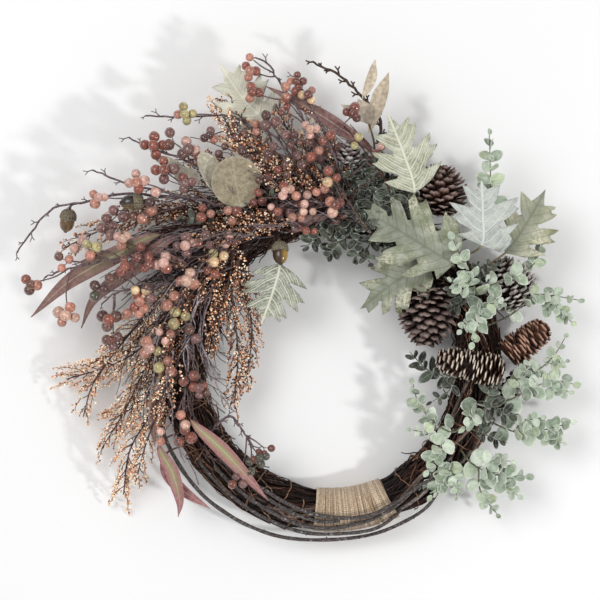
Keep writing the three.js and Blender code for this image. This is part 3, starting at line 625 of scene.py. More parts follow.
def cone_scale(rows, ridge, thickness):
    made = flat_grid(4, 4)
    shape_rows(made, rows)
    edit(made, "VERT", lambda v: abs(v.co.x) < 0.01)
    bpy.ops.transform.translate(value=(0, 0, ridge))
    done()
    apply_modifier(made, "SOLIDIFY", thickness=thickness, offset=0)
    return pattern_of(made)


PINE_SCALE = cone_scale([(0.35, 0), (0.6, 0.0), (0.88, 0.06), (1.0, 0.2), (0.5, 0.42)], 0.16, 0.3)
SPRUCE_SCALE = cone_scale([(0.6, 0), (0.85, 0.0), (1.0, 0.04), (0.92, 0.1), (0.5, 0.2)], 0.05, 0.16)
bpy.ops.mesh.primitive_uv_sphere_add(segments=14, ring_count=12, radius=1)
CONE_CORE = pattern_of(bpy.context.object)


def scale_material(name, edge_colour, edge_from, roughness, frost=0.0):
    material, tree, shader = new_material(name)
    grain = object_noise(tree, 500.0, 4.0)
    patchiness = object_noise(tree, 160.0, 2.0)
    wood = mottled(tree, tone(tree), grain, (0.3, 0.7), (0.45, 0.42, 0.4), (1.3, 1.26, 1.22))
    # The scale tips are painted paler: partly the cones' own pale margins, partly a painted highlight where
    # the tips catch the light.
    edge = ranged(tree, own(tree)["Y"], edge_from, min(1.0, edge_from + 0.2))
    edge = calc(tree, "MULTIPLY", edge, ranged(tree, patchiness, 0.32, 0.58, 0.3, 1.0))
    wood = mixed(tree, edge, wood, colour(edge_colour))
    if frost:
        wood = mixed(tree, ranged(tree, patchiness, 0.42, 0.62, 0.0, frost), wood, colour("c9cbc2"))
    relief = bump(tree, grain, 0.6, 0.0008)
    fill(tree, shader, {"Base Color": wood, "Normal": relief, "Roughness": roughness})
    return material


pine_wood = scale_material("pine_scale", "a08b84", 0.8, 0.6)
pine_dusty = scale_material("pine_scale_dusty", "cfc6bf", 0.74, 0.7)
spruce_wood = scale_material("spruce_scale", "f0dfcd", 0.82, 0.45)
spruce_red = scale_material("spruce_scale_red", "c39a84", 0.84, 0.5)
pod_wood = scale_material("pod_scale", "c6bfc0", 0.8, 0.8, 0.5)


def set_on(shape, places, across, along, out):
    """Copies of a shape, each at its own place and on its own three axes."""
    copies = places[:, None] + across[:, None] * shape[..., :1]
    return copies + along[:, None] * shape[..., 1:2] + out[:, None] * shape[..., 2:]


CONES = {
    # base, tip, radius, root, how many scales, their lean at base and tip, their width, finish, colours
    "pine_cone_top": (
        (106, 146, 54), (112, 197, 58), 27, (55, 150), 104, (2, 58), 5.6, pine_wood, "4f3832 3d2b24 5f443a",
    ),
    "pine_cone_left": (
        (99, 82, 44), (96, 15, 40), 29, (38, 150), 112, (-2, 56), 6.8, pine_wood, "2f2522 3f312d 281f1c",
    ),
    "pine_cone_right": (
        (192, 54, 40), (167, 103, 44), 25, (18, 150), 126, (2, 56), 5.2, pine_dusty, "463c38 574b46 382f2c",
    ),
    "spruce_cone_front": (
        (172, -11, 60), (105, 5, 58), 17.5, (-4, 166), 112, (14, 50), 7.3, spruce_wood, "3f2b23 54392d 2d1f1a",
    ),
    "spruce_cone_side": (
        (178, 6, 44), (218, 37, 40), 17.5, (4, 150), 80, (14, 50), 8.6, spruce_red, "4c3227 5e4034 372520",
    ),
    "spruce_cone_low": (
        (194, -14, 30), (166, -46, 40), 12, (-10, 150), 76, (14, 50), 5.8, spruce_red, "4b3028 5d3d31 3b261f",
    ),
    "grey_pod": (
        (17, 194, 60), (20, 219, 68), 12, (80, 150), 44, (20, 66), 4.6, pod_wood, "5a464a 443437 776468",
    ),
}
GOLDEN_TURN = math.pi * (3 - math.sqrt(5))
for name, (base, tip, radius, root, count, leans, width, finish, codes) in CONES.items():
    base, tip = np.array(base, dtype=float), np.array(tip, dtype=float)
    length = np.linalg.norm(tip - base)
    axis = (tip - base) / length
    first = beside(axis)
    second = np.cross(axis, first)
    share = ((np.arange(count) + 0.5) / count)[:, None]
    spruce = name.startswith("spruce")
    turn = np.arange(count)[:, None] * GOLDEN_TURN + rng.normal(0, 0.18 if spruce else 0.05, (count, 1))
    radial = np.cos(turn) * first + np.sin(turn) * second
    if spruce:
        near, far = np.clip(share / 0.12 + 0.3, 0, 1), np.clip((1.02 - share) / 0.16, 0, 1)
        profile = (1.03 - 0.36 * share) * near**0.5 * far**0.5
    else:
        profile = np.sin(np.pi * np.minimum(1, share * 0.92 + 0.04) ** 0.85) ** 0.65
    lean = np.radians(leans[0] + (leans[1] - leans[0]) * share + rng.normal(0, 4.5, (count, 1)))
    direction = np.cos(lean) * radial + np.sin(lean) * axis
    full = radius * np.maximum(profile, 0.16)
    reach = np.minimum(0.7 * full / np.cos(lean), 1.1 * radius)
    height = length * np.minimum(share + 0.02, 0.995)
    start = base + axis * height + radial * full * (1 + rng.normal(0, 0.025, (count, 1))) - direction * reach
    side = np.cross(axis, radial)
    outward = unit(np.cross(side, direction))
    outward = outward * np.sign(np.sum(outward * radial, axis=1, keepdims=True))
    half = width * (0.45 + 0.55 * profile) * chance(0.92, 1.08, count)
    pattern = SPRUCE_SCALE if spruce else PINE_SCALE
    copies = set_on(pattern[0], start, side * half, direction * reach, outward * half)
    keep_above(copies, 0.4)
    cone = Gathering()
    cone.add(pattern, copies, picks(shades_of(codes), count) * chance(0.8, 1.35, count))
    middle = base + axis * length * 0.46
    axes = [first * radius * 0.6, second * radius * 0.6, axis * length * 0.46]
    cone.add(CONE_CORE, set_on(CONE_CORE[0], *(a[None] for a in [middle, *axes])), "241a16", 1)
    cone.rods([np.linspace(on_ring(*root), base + axis * length * 0.3, 9)], 1.8, "3a2a24", 1, 8)
    cone.close(name + "_scales", [finish, ring_twig], "cone", [name])

# The oak leaves
# Cut from thin pressed cloth with a wired midrib: deep pointed lobes, sage green above, with white
# veins printed on four of them and faint dark ones on the others. Each is bound to a stalk that is
# pushed into the ring.
OAK_LOBES = {
    # each side from base to tip: the half width and the place along the leaf of its teeth and notches
    "left": [
        (0.5, 0.1), (0.83, 0.25), (0.42, 0.27), (0.75, 0.38), (0.97, 0.49), (0.8, 0.52), (0.86, 0.62),
        (0.33, 0.54), (0.5, 0.68), (0.64, 0.8), (0.22, 0.76),
    ],
    "right": [
        (0.55, 0.13), (0.97, 0.26), (0.44, 0.27), (0.8, 0.37), (1.02, 0.46), (0.84, 0.5), (0.92, 0.6),
        (0.36, 0.535), (0.55, 0.66), (0.66, 0.76), (0.5, 0.78), (0.52, 0.85), (0.2, 0.79),
    ],
    "pale left": [
        (0.5, 0.06), (0.78, 0.2), (0.4, 0.27), (0.85, 0.47), (0.74, 0.53), (0.92, 0.68), (0.34, 0.62),
        (0.54, 0.93), (0.16, 0.84),
    ],
    "pale right": [
        (0.6, 0.03), (0.75, 0.12), (0.74, 0.2), (0.96, 0.32), (0.46, 0.31), (1.0, 0.57), (0.9, 0.61),
        (0.98, 0.71), (0.36, 0.66), (0.51, 0.92), (0.16, 0.86),
    ],
    "broad left": [
        (0.51, 0.078), (0.43, 0.137), (0.81, 0.277), (0.87, 0.37), (0.42, 0.33), (0.726, 0.42), (0.86, 0.62),
        (0.6, 0.62), (0.33, 0.58), (0.5, 0.72), (0.58, 0.8), (0.24, 0.785), (0.2, 0.91), (0.07, 0.92),
    ],
    "broad right": [
        (0.5, 0.05), (0.8, 0.17), (1.0, 0.24), (0.88, 0.27), (0.96, 0.335), (0.5, 0.315), (0.72, 0.42),
        (0.95, 0.54), (0.84, 0.58), (0.92, 0.66), (0.72, 0.67), (0.37, 0.585), (0.6, 0.73), (0.58, 0.83),
        (0.22, 0.76), (0.25, 0.945), (0.09, 0.93),
    ],
}
OAK_ACROSS = 4
OAK_ROWS = 100
OAK_LEG_STEPS = 4
OAK_THICKNESS = 0.7
OAK_PATH_STEPS = 39
OAK_FROST = 0.3


def lobed_side(lobes):
    """Half widths and places along the leaf where its cross rows end. The outline's legs bow, which
    rounds the notches and points the lobes, and the rows fan forward from the midrib as veins do."""
    outline = [np.array([0.03, 0.0])]
    ends = [(0.03, 0.0)] + lobes + [(0.0, 1.0)]
    opened = []
    for before, (width, place), after in zip(ends, ends[1:], ends[2:]):
        notch = 0.15 < width < min(before[0], after[0])
        mouth = [(width + 0.02, place - 0.034), (width - 0.06, place), (width + 0.02, place + 0.034)]
        opened += mouth if notch else [(width, place)]
    for end in np.array(opened + [(0.0, 1.0)]):
        start = outline[-1]
        middle = start + (end - start) * ((0.5, 0.42) if end[0] > start[0] else (0.6, 0.4))
        for step in np.arange(1, OAK_LEG_STEPS + 1) / OAK_LEG_STEPS:
            outline.append((1 - step) ** 2 * start + 2 * step * (1 - step) * middle + step**2 * end)
    outline = np.array(outline)
    even = np.linspace(0, 1, len(outline))
    forward = np.maximum.accumulate(outline[:, 1] - 0.42 * outline[:, 0])
    forward = (forward - forward[0]) / (forward[-1] - forward[0])
    at = np.interp(np.linspace(0, 1, OAK_ROWS + 1), 0.8 * forward + 0.2 * even, even) * (len(outline) - 1)
    for corner in range(0, len(outline), OAK_LEG_STEPS):
        at[np.argmin(np.abs(at - corner))] = corner
    return np.stack([np.interp(at, np.arange(len(outline)), outline[:, k]) for k in (0, 1)], axis=1)


def oak_blade(left, right):
    made = flat_grid(2 * OAK_ACROSS, OAK_ROWS)
    sides = {-1: lobed_side(OAK_LOBES[left]), 1: lobed_side(OAK_LOBES[right])}
    for v in made.data.vertices:
        width, place = sides[1 if v.co.x > 0 else -1][round(v.co.y * OAK_ROWS)]
        v.co.y += (place - v.co.y) * abs(v.co.x)
        v.co.x *= width
    return pattern_of(made)


def from_ring(root, points):
    """A stem's points, the first of them in the middle of the bundle at a ring angle."""
    return np.vstack([on_ring(root), points])


def blade_and_stalk(root, points, blade_steps, stalk_steps):
    """The two parts of a leaf's path, which meet at the first of the points given."""
    points = from_ring(root, points)
    spots = np.linspace(0, 1, 401)
    share = spots[np.argmin(np.linalg.norm(smooth_path(points, spots) - points[1], axis=1))]
    blade = smooth_path(points, share + (1 - share) * np.linspace(0, 1, blade_steps + 1))
    return blade, smooth_path(points, np.linspace(0, share, stalk_steps + 1))


def add_blade(gathering, pattern, bent, flat, path, thickness, code):
    """Lays a bent sheet along a path and closes it: its back lies under its face, a rim joins them,
    and the flat shape gives its materials their coordinates."""
    points, corners, sizes = pattern
    lifted = lay((bent,), [path], 1.0)[0]
    quads = corners.reshape(-1, 4)
    normals = np.zeros_like(lifted)
    a, b, c = (lifted[quads[:, k]] for k in range(3))
    for k in range(4):
        np.add.at(normals, quads[:, k], np.cross(b - a, c - a))
    half = unit(normals) * thickness / 2
    edges = np.stack([quads, np.roll(quads, -1, axis=1)], axis=-1).reshape(-1, 2)
    keys = {tuple(e) for e in edges.tolist()}
    rim = np.array([e for e in edges.tolist() if (e[1], e[0]) not in keys])
    back = rim + len(points)
    rims = np.stack([rim[:, 1], rim[:, 0], back[:, 0], back[:, 1]], axis=1)
    faces = np.concatenate([quads, quads[:, ::-1] + len(points), rims])
    closed = (np.concatenate([points, points]), faces.ravel(), np.full(len(faces), 4))
    both = np.concatenate([lifted + half, lifted - half])
    gathering.add(closed, [both], code, 0, np.concatenate([flat, flat]))


# Pale frost or dust that settles in patches.
frost, given, result = effect(
    "frost",
    [("Color", "Color", (0.5, 0.5, 0.5, 1)), ("Amount", "Float", 0.5), ("Scale", "Float", 60.0)],
    [("Color", "Color")],
)
place = node(frost, "TexCoord").outputs["Object"]
cloud = node(frost, "TexNoise", {"Vector": place, "Scale": given["Scale"], "Detail": 5.0}).outputs["Fac"]
covered = calc(frost, "MULTIPLY", ranged(frost, cloud, 0.42, 0.66), given["Amount"])
frost.links.new(mixed(frost, covered, given["Color"], (0.78, 0.8, 0.74, 1)), result["Color"])


def vein_lines(tree, spacing, forward, width):
    """Curved lines that leave the midrib towards the tip, in the blade's own millimetres."""
    place = own(tree)
    across = calc(tree, "ABSOLUTE", place["X"])
    bend = calc(tree, "MULTIPLY", calc(tree, "POWER", across, 1.35), forward)
    wobble = calc(tree, "MULTIPLY", object_noise(tree, 110.0, 3.0), 3.6)
    line = calc(tree, "ADD", calc(tree, "SUBTRACT", place["Y"], bend), wobble)
    turn = calc(tree, "FRACT", calc(tree, "DIVIDE", line, spacing))
    return ranged(tree, calc(tree, "ABSOLUTE", calc(tree, "SUBTRACT", turn, 0.5)), width, width * 0.35)


def leaf_material(name, line_colour, fine, coarse, contrast, spacing=3.6, faded=0.0):
    """Mottled cloth with printed veins: fine ones and coarse ones, from faint (0) to plain (1). A faded
    one is greyer in its middle, with cream patches to its edges."""
    material, tree, shader = new_material(name)
    mottle = object_noise(tree, 55.0, 6.0)
    dark, light = [1 - contrast] * 3, [1 + contrast, 1 + contrast, 1 + 0.8 * contrast]
    skin = mottled(tree, tone(tree), mottle, (0.38, 0.62), dark, light)
    skin = use(tree, frost, {"Color": skin, "Amount": OAK_FROST, "Scale": 95.0})["Color"]
    grit = ranged(tree, object_noise(tree, 480.0, 3.0), 0.54, 0.62)
    grit = calc(tree, "MULTIPLY", grit, ranged(tree, mottle, 0.46, 0.6))
    skin = mixed(tree, calc(tree, "MULTIPLY", grit, OAK_FROST), skin, colour("dfe0c8"))
    across = calc(tree, "ABSOLUTE", own(tree)["X"])
    rib = ranged(tree, across, 1.5, 0.8)
    skin = mixed(tree, ranged(tree, across, 22.0, 3.0, 0.0, faded * 0.75), skin, colour("90948a"))
    patches = ranged(tree, object_noise(tree, 45.0, 3.0), 0.45, 0.6)
    cream = calc(tree, "MULTIPLY", ranged(tree, across, 6.0, 16.0, 0.0, faded), patches)
    cream = calc(tree, "MULTIPLY", cream, ranged(tree, object_noise(tree, 360.0, 3.0), 0.36, 0.58))
    skin = mixed(tree, cream, skin, colour("e2dec6"))
    fine_lines = vein_lines(tree, spacing, 0.33, 0.16)
    coarse_lines = vein_lines(tree, 10.5, 0.33, 0.085)
    broken = ranged(tree, object_noise(tree, 230.0, 4.0), 0.36, 0.56, 0.15, 1.0)
    net = calc(tree, "ABSOLUTE", calc(tree, "SUBTRACT", object_noise(tree, 190.0, 2.0), 0.5))
    net = ranged(tree, net, 0.03, 0.008, 0.0, 0.55)
    lines = calc(tree, "MAXIMUM", net, calc(tree, "MULTIPLY", fine_lines, broken))
    lines = calc(tree, "MULTIPLY", lines, fine)
    lines = calc(tree, "MAXIMUM", lines, calc(tree, "MULTIPLY", coarse_lines, coarse))
    lines = calc(tree, "MAXIMUM", lines, calc(tree, "MULTIPLY", rib, max(coarse, fine)))
    relief = calc(tree, "ADD", coarse_lines, calc(tree, "MULTIPLY", rib, 1.5))
    relief = calc(tree, "ADD", relief, calc(tree, "ADD", mottle, object_noise(tree, 900.0, 2.0)))
    relief = bump(tree, relief, 0.5, 0.0006)
    skin = mixed(tree, lines, skin, colour(line_colour))
    fill(tree, shader, {"Base Color": skin, "Normal": relief, "Roughness": 0.75})
    return material


veined_oak = leaf_material("oak_cloth_veined", "ebe9d6", 0.7, 0.8, 0.14)
silver_oak = leaf_material("oak_cloth_silver", "e3e6e1", 0.7, 0.75, 0.1, 2.3)
plain_oak = leaf_material("oak_cloth_plain", "5c604c", 0.2, 0.34, 0.16, faded=0.8)
OAK_LEAVES = {
    # blade path, half width, root, left side, right side, wave, finish, colour
    "oak_leaf_upper_left": (
        [(-64, 236, 50), (-86, 262, 58), (-110, 297, 56)], 31, 108, "left", "right", 0.3, veined_oak, "cbc9b8",
    ),
    "oak_leaf_inner_left": (
        [(-50, 98, 62), (-57, 70, 60), (-69, 37, 52)], 33, 112, "right", "left", 1.9, veined_oak, "808576",
    ),
    "oak_leaf_upper_right": (
        [(83, 168, 78), (72, 206, 86), (56, 247, 80)], 34, 66, "left", "right", 3.1, veined_oak, "a2a58e",
    ),
    "oak_leaf_pale": (
        [(149, 116, 76), (150, 148, 84), (149, 180, 80)], 36, 42, "pale left", "pale right", 4.4,
        silver_oak, "aab0aa",
    ),
    "oak_leaf_broad": (
        [(121, 97, 74), (80, 123, 80), (32, 152, 70)], 42, 40, "broad left", "broad right", 0.9,
        plain_oak, "858a72",
    ),
    "oak_leaf_lower": (
        [(97, 99, 58), (62, 78, 56), (30, 53, 48)], 33, 44, "broad right", "left", 2.6, plain_oak, "787c5f",
    ),
    "oak_leaf_olive": (
        [(174, 109, 66), (196, 140, 68), (214, 172, 62)], 33, 33, "left", "right", 5.2, plain_oak, "a3a483",
    ),
}
for name, (points, half, root, left, right, wave, finish, code) in OAK_LEAVES.items():
    path, stalk = blade_and_stalk(root, points, OAK_PATH_STEPS, 14)
    length = np.linalg.norm(np.diff(path, axis=0), axis=1).sum()
    pattern = oak_blade(left, right)
    shape = pattern[0].copy()
    flat = np.stack([shape[:, 0] * half, shape[:, 1] * length, 0 * shape[:, 0]], axis=1)
    aside = np.abs(shape[:, 0])
    ripple = np.sin(shape[:, 1] * 13 + wave + np.sign(shape[:, 0]))
    shape[:, 2] = half * (0.15 * aside - 0.05 * aside**3) + 3.4 * aside**1.5 * ripple
    shape[:, 0] *= half
    leaf = Gathering()
    add_blade(leaf, pattern, shape, flat, path, OAK_THICKNESS, code)
    leaf.rods([stalk], 1.1, "8b8468", 1, 8)
    leaf.close(name + "_cloth", [finish, ring_twig], "sage", [name])

# The long leaves
# Narrow dyed leaves, folded up along a pale midrib, burgundy at the edges and green in the middle of
# the newer ones.
WILLOW_ROWS = 40
WILLOW_ACROSS = 6
LONG_THICKNESS = 0.6


def long_leaf_material(name, edge, streaks, green_to):
    """Green or pale along the midrib near the stalk, and dyed towards its edges and its tip."""
    material, tree, shader = new_material(name)
    place = own(tree)
    aside = calc(tree, "ABSOLUTE", place["X"])
    streak = object_noise(tree, 300.0, 3.0)
    blush = calc(tree, "ADD", aside, ranged(tree, streak, 0.3, 0.7, -0.18, 0.18))
    tip = ranged(tree, place["Y"], green_to - 0.35, green_to)
    blush = calc(tree, "MAXIMUM", ranged(tree, blush, 0.2, 0.7), tip)
    skin = mixed(tree, blush, tone(tree), colour(edge))
    skin = mixed(tree, ranged(tree, streak, 0.35, 0.7, 0.0, 0.5), skin, colour(streaks))
    skin = mixed(tree, ranged(tree, aside, 0.93, 1.0, 0.0, 0.4), skin, colour("b39590"))
    skin = mixed(tree, ranged(tree, aside, 0.1, 0.03, 0.0, 0.6), skin, colour("c8bda4"))
    ribs = calc(tree, "SINE", calc(tree, "MULTIPLY", place["X"], 42.0))
    fill(tree, shader, {"Base Color": skin, "Normal": bump(tree, ribs, 0.25, 0.0004), "Roughness": 0.5})
    return material


brown_leaf = long_leaf_material("long_leaf_brown", "84625c", "ab958f", 0.62)
rosy_leaf = long_leaf_material("long_leaf_rosy", "9c686a", "c29c98", 0.8)

LONG_LEAVES = {
    # path, half width, root (a ring angle), colour of its middle
    "long_leaf_left": ([(-168, 127, 60), (-209, 108, 74), (-259, 80, 68), (-298, 45, 52)], 9, 132, "8f8a62"),
    "long_leaf_left_lower": (
        [(-150, 125, 56), (-202, 90, 56), (-236, 62, 50), (-249, 34, 40)], 7.5, 136, "805655",
    ),
    "long_leaf_bottom_left": (
        [(-170, -82, 50), (-157, -110, 56), (-150, -140, 48), (-152, -155, 40)], 6.8, 206, "8f9163",
    ),
    "long_leaf_bottom_back": (
        [(-164, -92, 41), (-165, -108, 41), (-148, -128, 41), (-120, -147, 40)], 6, 212, "6e4346",
    ),
    "long_leaf_bottom_right": ([(-139, -57, 58), (-106, -88, 62), (-62, -137, 56)], 7.2, 196, "999b69"),
    "long_leaf_top": ([(42, 206, 58), (9, 233, 68), (-28, 256, 64), (-65, 275, 60)], 7, 84, "744a50"),
}


def long_blade(gathering, points, half, root, code, fold=0.25):
    path, stalk = blade_and_stalk(root, points, WILLOW_ROWS, 12)
    along = np.linspace(0, 1, WILLOW_ROWS + 1)
    widths = np.maximum(0.05, np.sin(np.pi * along**0.78) ** 0.9)
    pattern = pattern_of(flat_grid(WILLOW_ACROSS, WILLOW_ROWS))
    flat = pattern[0]
    width = half * np.interp(flat[:, 1], along, widths)
    aside = np.abs(flat[:, 0])
    lift = fold * width * aside + 0.06 * half * np.sin(flat[:, 1] * 19 + half) * aside
    shape = np.stack([flat[:, 0] * width, flat[:, 1], lift], axis=1)
    add_blade(gathering, pattern, shape, flat, path, LONG_THICKNESS, code)
    gathering.rods([stalk], 1.0, "6b4a46", 1)


for name, leaf in LONG_LEAVES.items():
    blade = Gathering()
    long_blade(blade, *leaf)
    skin = rosy_leaf if "bottom" in name else brown_leaf
    blade.close(name + "_blade", [skin, ring_twig], "burgundy", [name])

MORE_LONG_LEAVES = [
    # leaves that only this dressed version has, with their fold at the end
    ([(-150, 118, 52), (-185, 118, 54), (-222, 108, 52), (-255, 98, 46)], 6, 134, "6b4a45", 0.25),
    ([(-60, 176, 48), (-25, 200, 60), (10, 214, 66), (45, 192, 62)], 5, 100, "7c5a5f", 0.25),
    ([(-8, 196, 60), (-14, 220, 70), (-25, 237, 66)], 5.5, 92, "7a555b", 0.3),
    ([(-150, -8, 50), (-168, -30, 56), (-176, -60, 52), (-175, -85, 46)], 6.5, 178, "6f4a3f", 0.22),
    ([(-140, 96, 60), (-165, 103, 68), (-177, 106, 68), (-196, 104, 62)], 6, 140, "5b3a34", 0.2),
    ([(-40, 130, 60), (-20, 142, 70), (0, 144, 68)], 5, 110, "8b7a80", 0.2),
]
behind = Gathering()
for leaf in MORE_LONG_LEAVES:
    long_blade(behind, *leaf)
behind.close("long_leaves_behind", [brown_leaf, ring_twig], "burgundy")

# The round leaves
# Broad preserved leaves the colour of khaki felt, each with a fine net of veins, on two stalks.
def round_leaf_pattern(sides, inner):
    bpy.ops.object.select_all(action="DESELECT")
    bpy.ops.mesh.primitive_circle_add(vertices=sides, radius=1, fill_type="NGON")
    made = bpy.context.object
    for thickness in inner:
        edit(made, "FACE", lambda f: len(f.vertices) == sides)
        bpy.ops.mesh.inset(thickness=thickness)
        done()
    edit(made, "FACE", lambda f: len(f.vertices) == sides)
    bpy.ops.mesh.poke()
    done()
    return made


made = round_leaf_pattern(26, (0.06, 0.3, 0.3))
for v in made.data.vertices:
    far = math.hypot(v.co.x, v.co.y)
    turn = math.atan2(v.co.y, v.co.x)
    v.co.z = 0.1 * far**2 + 0.05 * far**3 * math.sin(3 * turn + 1) + 0.03 * far**4 * math.sin(7 * turn)
    v.co.y -= 0.12 * max(0, -v.co.y) ** 3
apply_modifier(made, "SOLIDIFY", thickness=0.03, offset=0)
ROUND_LEAF = pattern_of(made)
points = ROUND_LEAF[0].copy()
points[:, 0] *= 1 - 0.85 * np.abs(points[:, 1]) ** 2.2 * np.where(points[:, 1] > 0, 1, 0.5)
POINTED_LEAF = (points, *ROUND_LEAF[1:])


def aside_and_out(tree):
    """How far a point lies from a round leaf's midrib, and how far from its middle."""
    place = own(tree)
    squares = [calc(tree, "POWER", place[axis], 2.0) for axis in "XY"]
    return calc(tree, "ABSOLUTE", place["X"]), calc(tree, "SQRT", calc(tree, "ADD", *squares))


felt_leaf, tree, shader = new_material("felt_leaf")
place = node(tree, "TexCoord").outputs["Object"]
net = node(tree, "TexVoronoi", {"Vector": place, "Scale": 420.0}, feature="DISTANCE_TO_EDGE")
veins = ranged(tree, net.outputs["Distance"], 0.12, 0.0)
mottle = object_noise(tree, 260.0, 6.0)
aside, out = aside_and_out(tree)
skin = mottled(tree, tone(tree), mottle, (0.38, 0.62), (0.74, 0.72, 0.69), (1.16, 1.15, 1.12))
skin = mixed(tree, calc(tree, "MULTIPLY", veins, 0.5), skin, colour("bdb199"))
skin = mixed(tree, ranged(tree, aside, 0.05, 0.0, 0.0, 0.35), skin, colour("c8bda2"))
skin = mixed(tree, ranged(tree, out, 0.9, 1.0, 0.0, 0.3), skin, colour("d3cab4"))
relief = bump(tree, calc(tree, "ADD", veins, mottle), 0.35, 0.0004)
fill(tree, shader, {"Base Color": skin, "Normal": relief, "Roughness": 0.8, "Sheen Weight": 0.25})


def leaf_places(pattern, bases, tips, leans, widths, curls):
    """Copies of a flat round leaf of radius 1, each from its base to its tip."""
    given = (bases, tips, leans, widths, curls)
    bases, tips, leans, widths, curls = (np.asarray(values, dtype=float) for values in given)
    lengths = np.linalg.norm(tips - bases, axis=1)[:, None]
    direction = (tips - bases) / lengths
    normal = unit(leans - direction * np.sum(leans * direction, axis=1, keepdims=True))
    side = unit(np.cross(normal, direction))
    half = widths[:, None] / 2
    shape = np.repeat(pattern[0][None], len(bases), axis=0)
    shape[..., 2] += curls[:, None] * shape[..., 0] ** 2
    middle = bases + direction * 0.48 * lengths
    return set_on(shape, middle, side * half, direction * lengths / 2, normal * half)


ROUND_LEAVES = {
    "round_leaves_left": (
        122,
        [(-84, 152, 54), (-106, 168, 58), (-132, 183, 61), (-150, 195, 58)],
        [
            # base, tip, width, lean, curl, colour
            ((-90, 158, 63), (-98, 205, 76), 50, (0.1, 0.1, 1), 0.1, "9b927c"),
            ((-110, 170, 68), (-129, 208, 74), 24, (0.5, 0.1, 1), 0.3, "bdb8a8"),
            ((-130, 182, 68), (-155, 188, 66), 19, (0, -0.3, 1), 0.2, "b0aca0"),
            ((-148, 193, 63), (-174, 203, 60), 11, (0.2, 0.3, 1), 0.5, "b3afa4"),
        ],
    ),
    "round_leaves_top": (
        76,
        [(44, 214, 60), (38, 240, 60), (33, 266, 58)],
        [
            ((39, 238, 60), (27, 262, 66), 18, (0.2, 0, 1), 0.1, "c8bbae"),
            ((33, 265, 58), (45, 302, 58), 12, (0.6, 0, 1), 0.7, "dccfbe"),
            ((40, 232, 60), (59, 290, 60), 16, (-0.3, 0, 1), 0.45, "cbbdab"),
            ((38, 240, 60), (10, 257, 56), 12, (0, -0.3, 1), 0.2, "d0c5b8"),
        ],
    ),
}
for name, (root, stalk, leaves) in ROUND_LEAVES.items():
    spray = Gathering()
    bases, tips, widths, leans, curls, codes = zip(*leaves)
    shape = ROUND_LEAF if name == "round_leaves_left" else POINTED_LEAF
    spray.add(shape, leaf_places(shape, bases, tips, leans, widths, curls), shades_of(" ".join(codes)))
    path = curve(from_ring(root, stalk), 24)
    spray.rods([path], (1.5, 0.8), "6f6152", 1, 7)
    for base in np.array(bases, dtype=float):
        near = path[np.argmin(np.linalg.norm(path - base, axis=1))]
        spray.rods([[near, base + (base - near) * 0.1]], 0.7, "7d705c", 1, 5)
    spray.close(name + "_spray", [felt_leaf, ring_twig], "khaki", [name])

# The eucalyptus
# Soft sprays of small round leaves in pairs, pale blue-green under a white bloom, with pale rims that
# are partly bloom and partly painted highlight. Their thin stems are pushed into the ring's right side.
made = round_leaf_pattern(12, (0.3,))
for v in made.data.vertices:
    far = math.hypot(v.co.x, v.co.y)
    v.co.z = 0.22 * far**2 - 0.05
    v.co.x *= 1 - 0.22 * max(0, v.co.y) ** 2
    v.co.y += 0.14 * max(0, v.co.y) ** 4 - 0.1 * max(0, -v.co.y) ** 3
    v.co.z -= 0.12 * max(0, v.co.y) ** 3
apply_modifier(made, "SOLIDIFY", thickness=0.05, offset=0)
SMALL_LEAF = pattern_of(made)


def bloomed_material(name, bloom, rim_bloom_and_highlight):
    """A leaf under a white bloom, with a pale midrib and a near-white rim that is partly bloom and partly
    painted highlight.
    """
    material, tree, shader = new_material(name)
    aside, out = aside_and_out(tree)
    mottle = object_noise(tree, 260.0, 4.0)
    skin = mottled(tree, tone(tree), mottle, (0.3, 0.7), (0.8, 0.82, 0.8), (1.18, 1.16, 1.14))
    skin = use(tree, frost, {"Color": skin, "Amount": bloom, "Scale": 210.0})["Color"]
    skin = mixed(tree, ranged(tree, aside, 0.07, 0.02, 0.0, rim_bloom_and_highlight * 0.6), skin, colour("c3ccb8"))
    # The near-white rim is partly bloom and partly a painted highlight.
    skin = mixed(tree, ranged(tree, out, 0.84, 0.97, 0.0, rim_bloom_and_highlight), skin, colour("dde3d6"))
    fill(tree, shader, {"Base Color": skin, "Normal": bump(tree, mottle, 0.3, 0.0004), "Roughness": 0.62})
    shader.inputs["Sheen Weight"].default_value = rim_bloom_and_highlight * 0.3
    return material


frosted_leaf = bloomed_material("frosted_leaf", 0.36, 0.9)
dark_leaf = bloomed_material("dark_leaf", 0.12, 0.45)

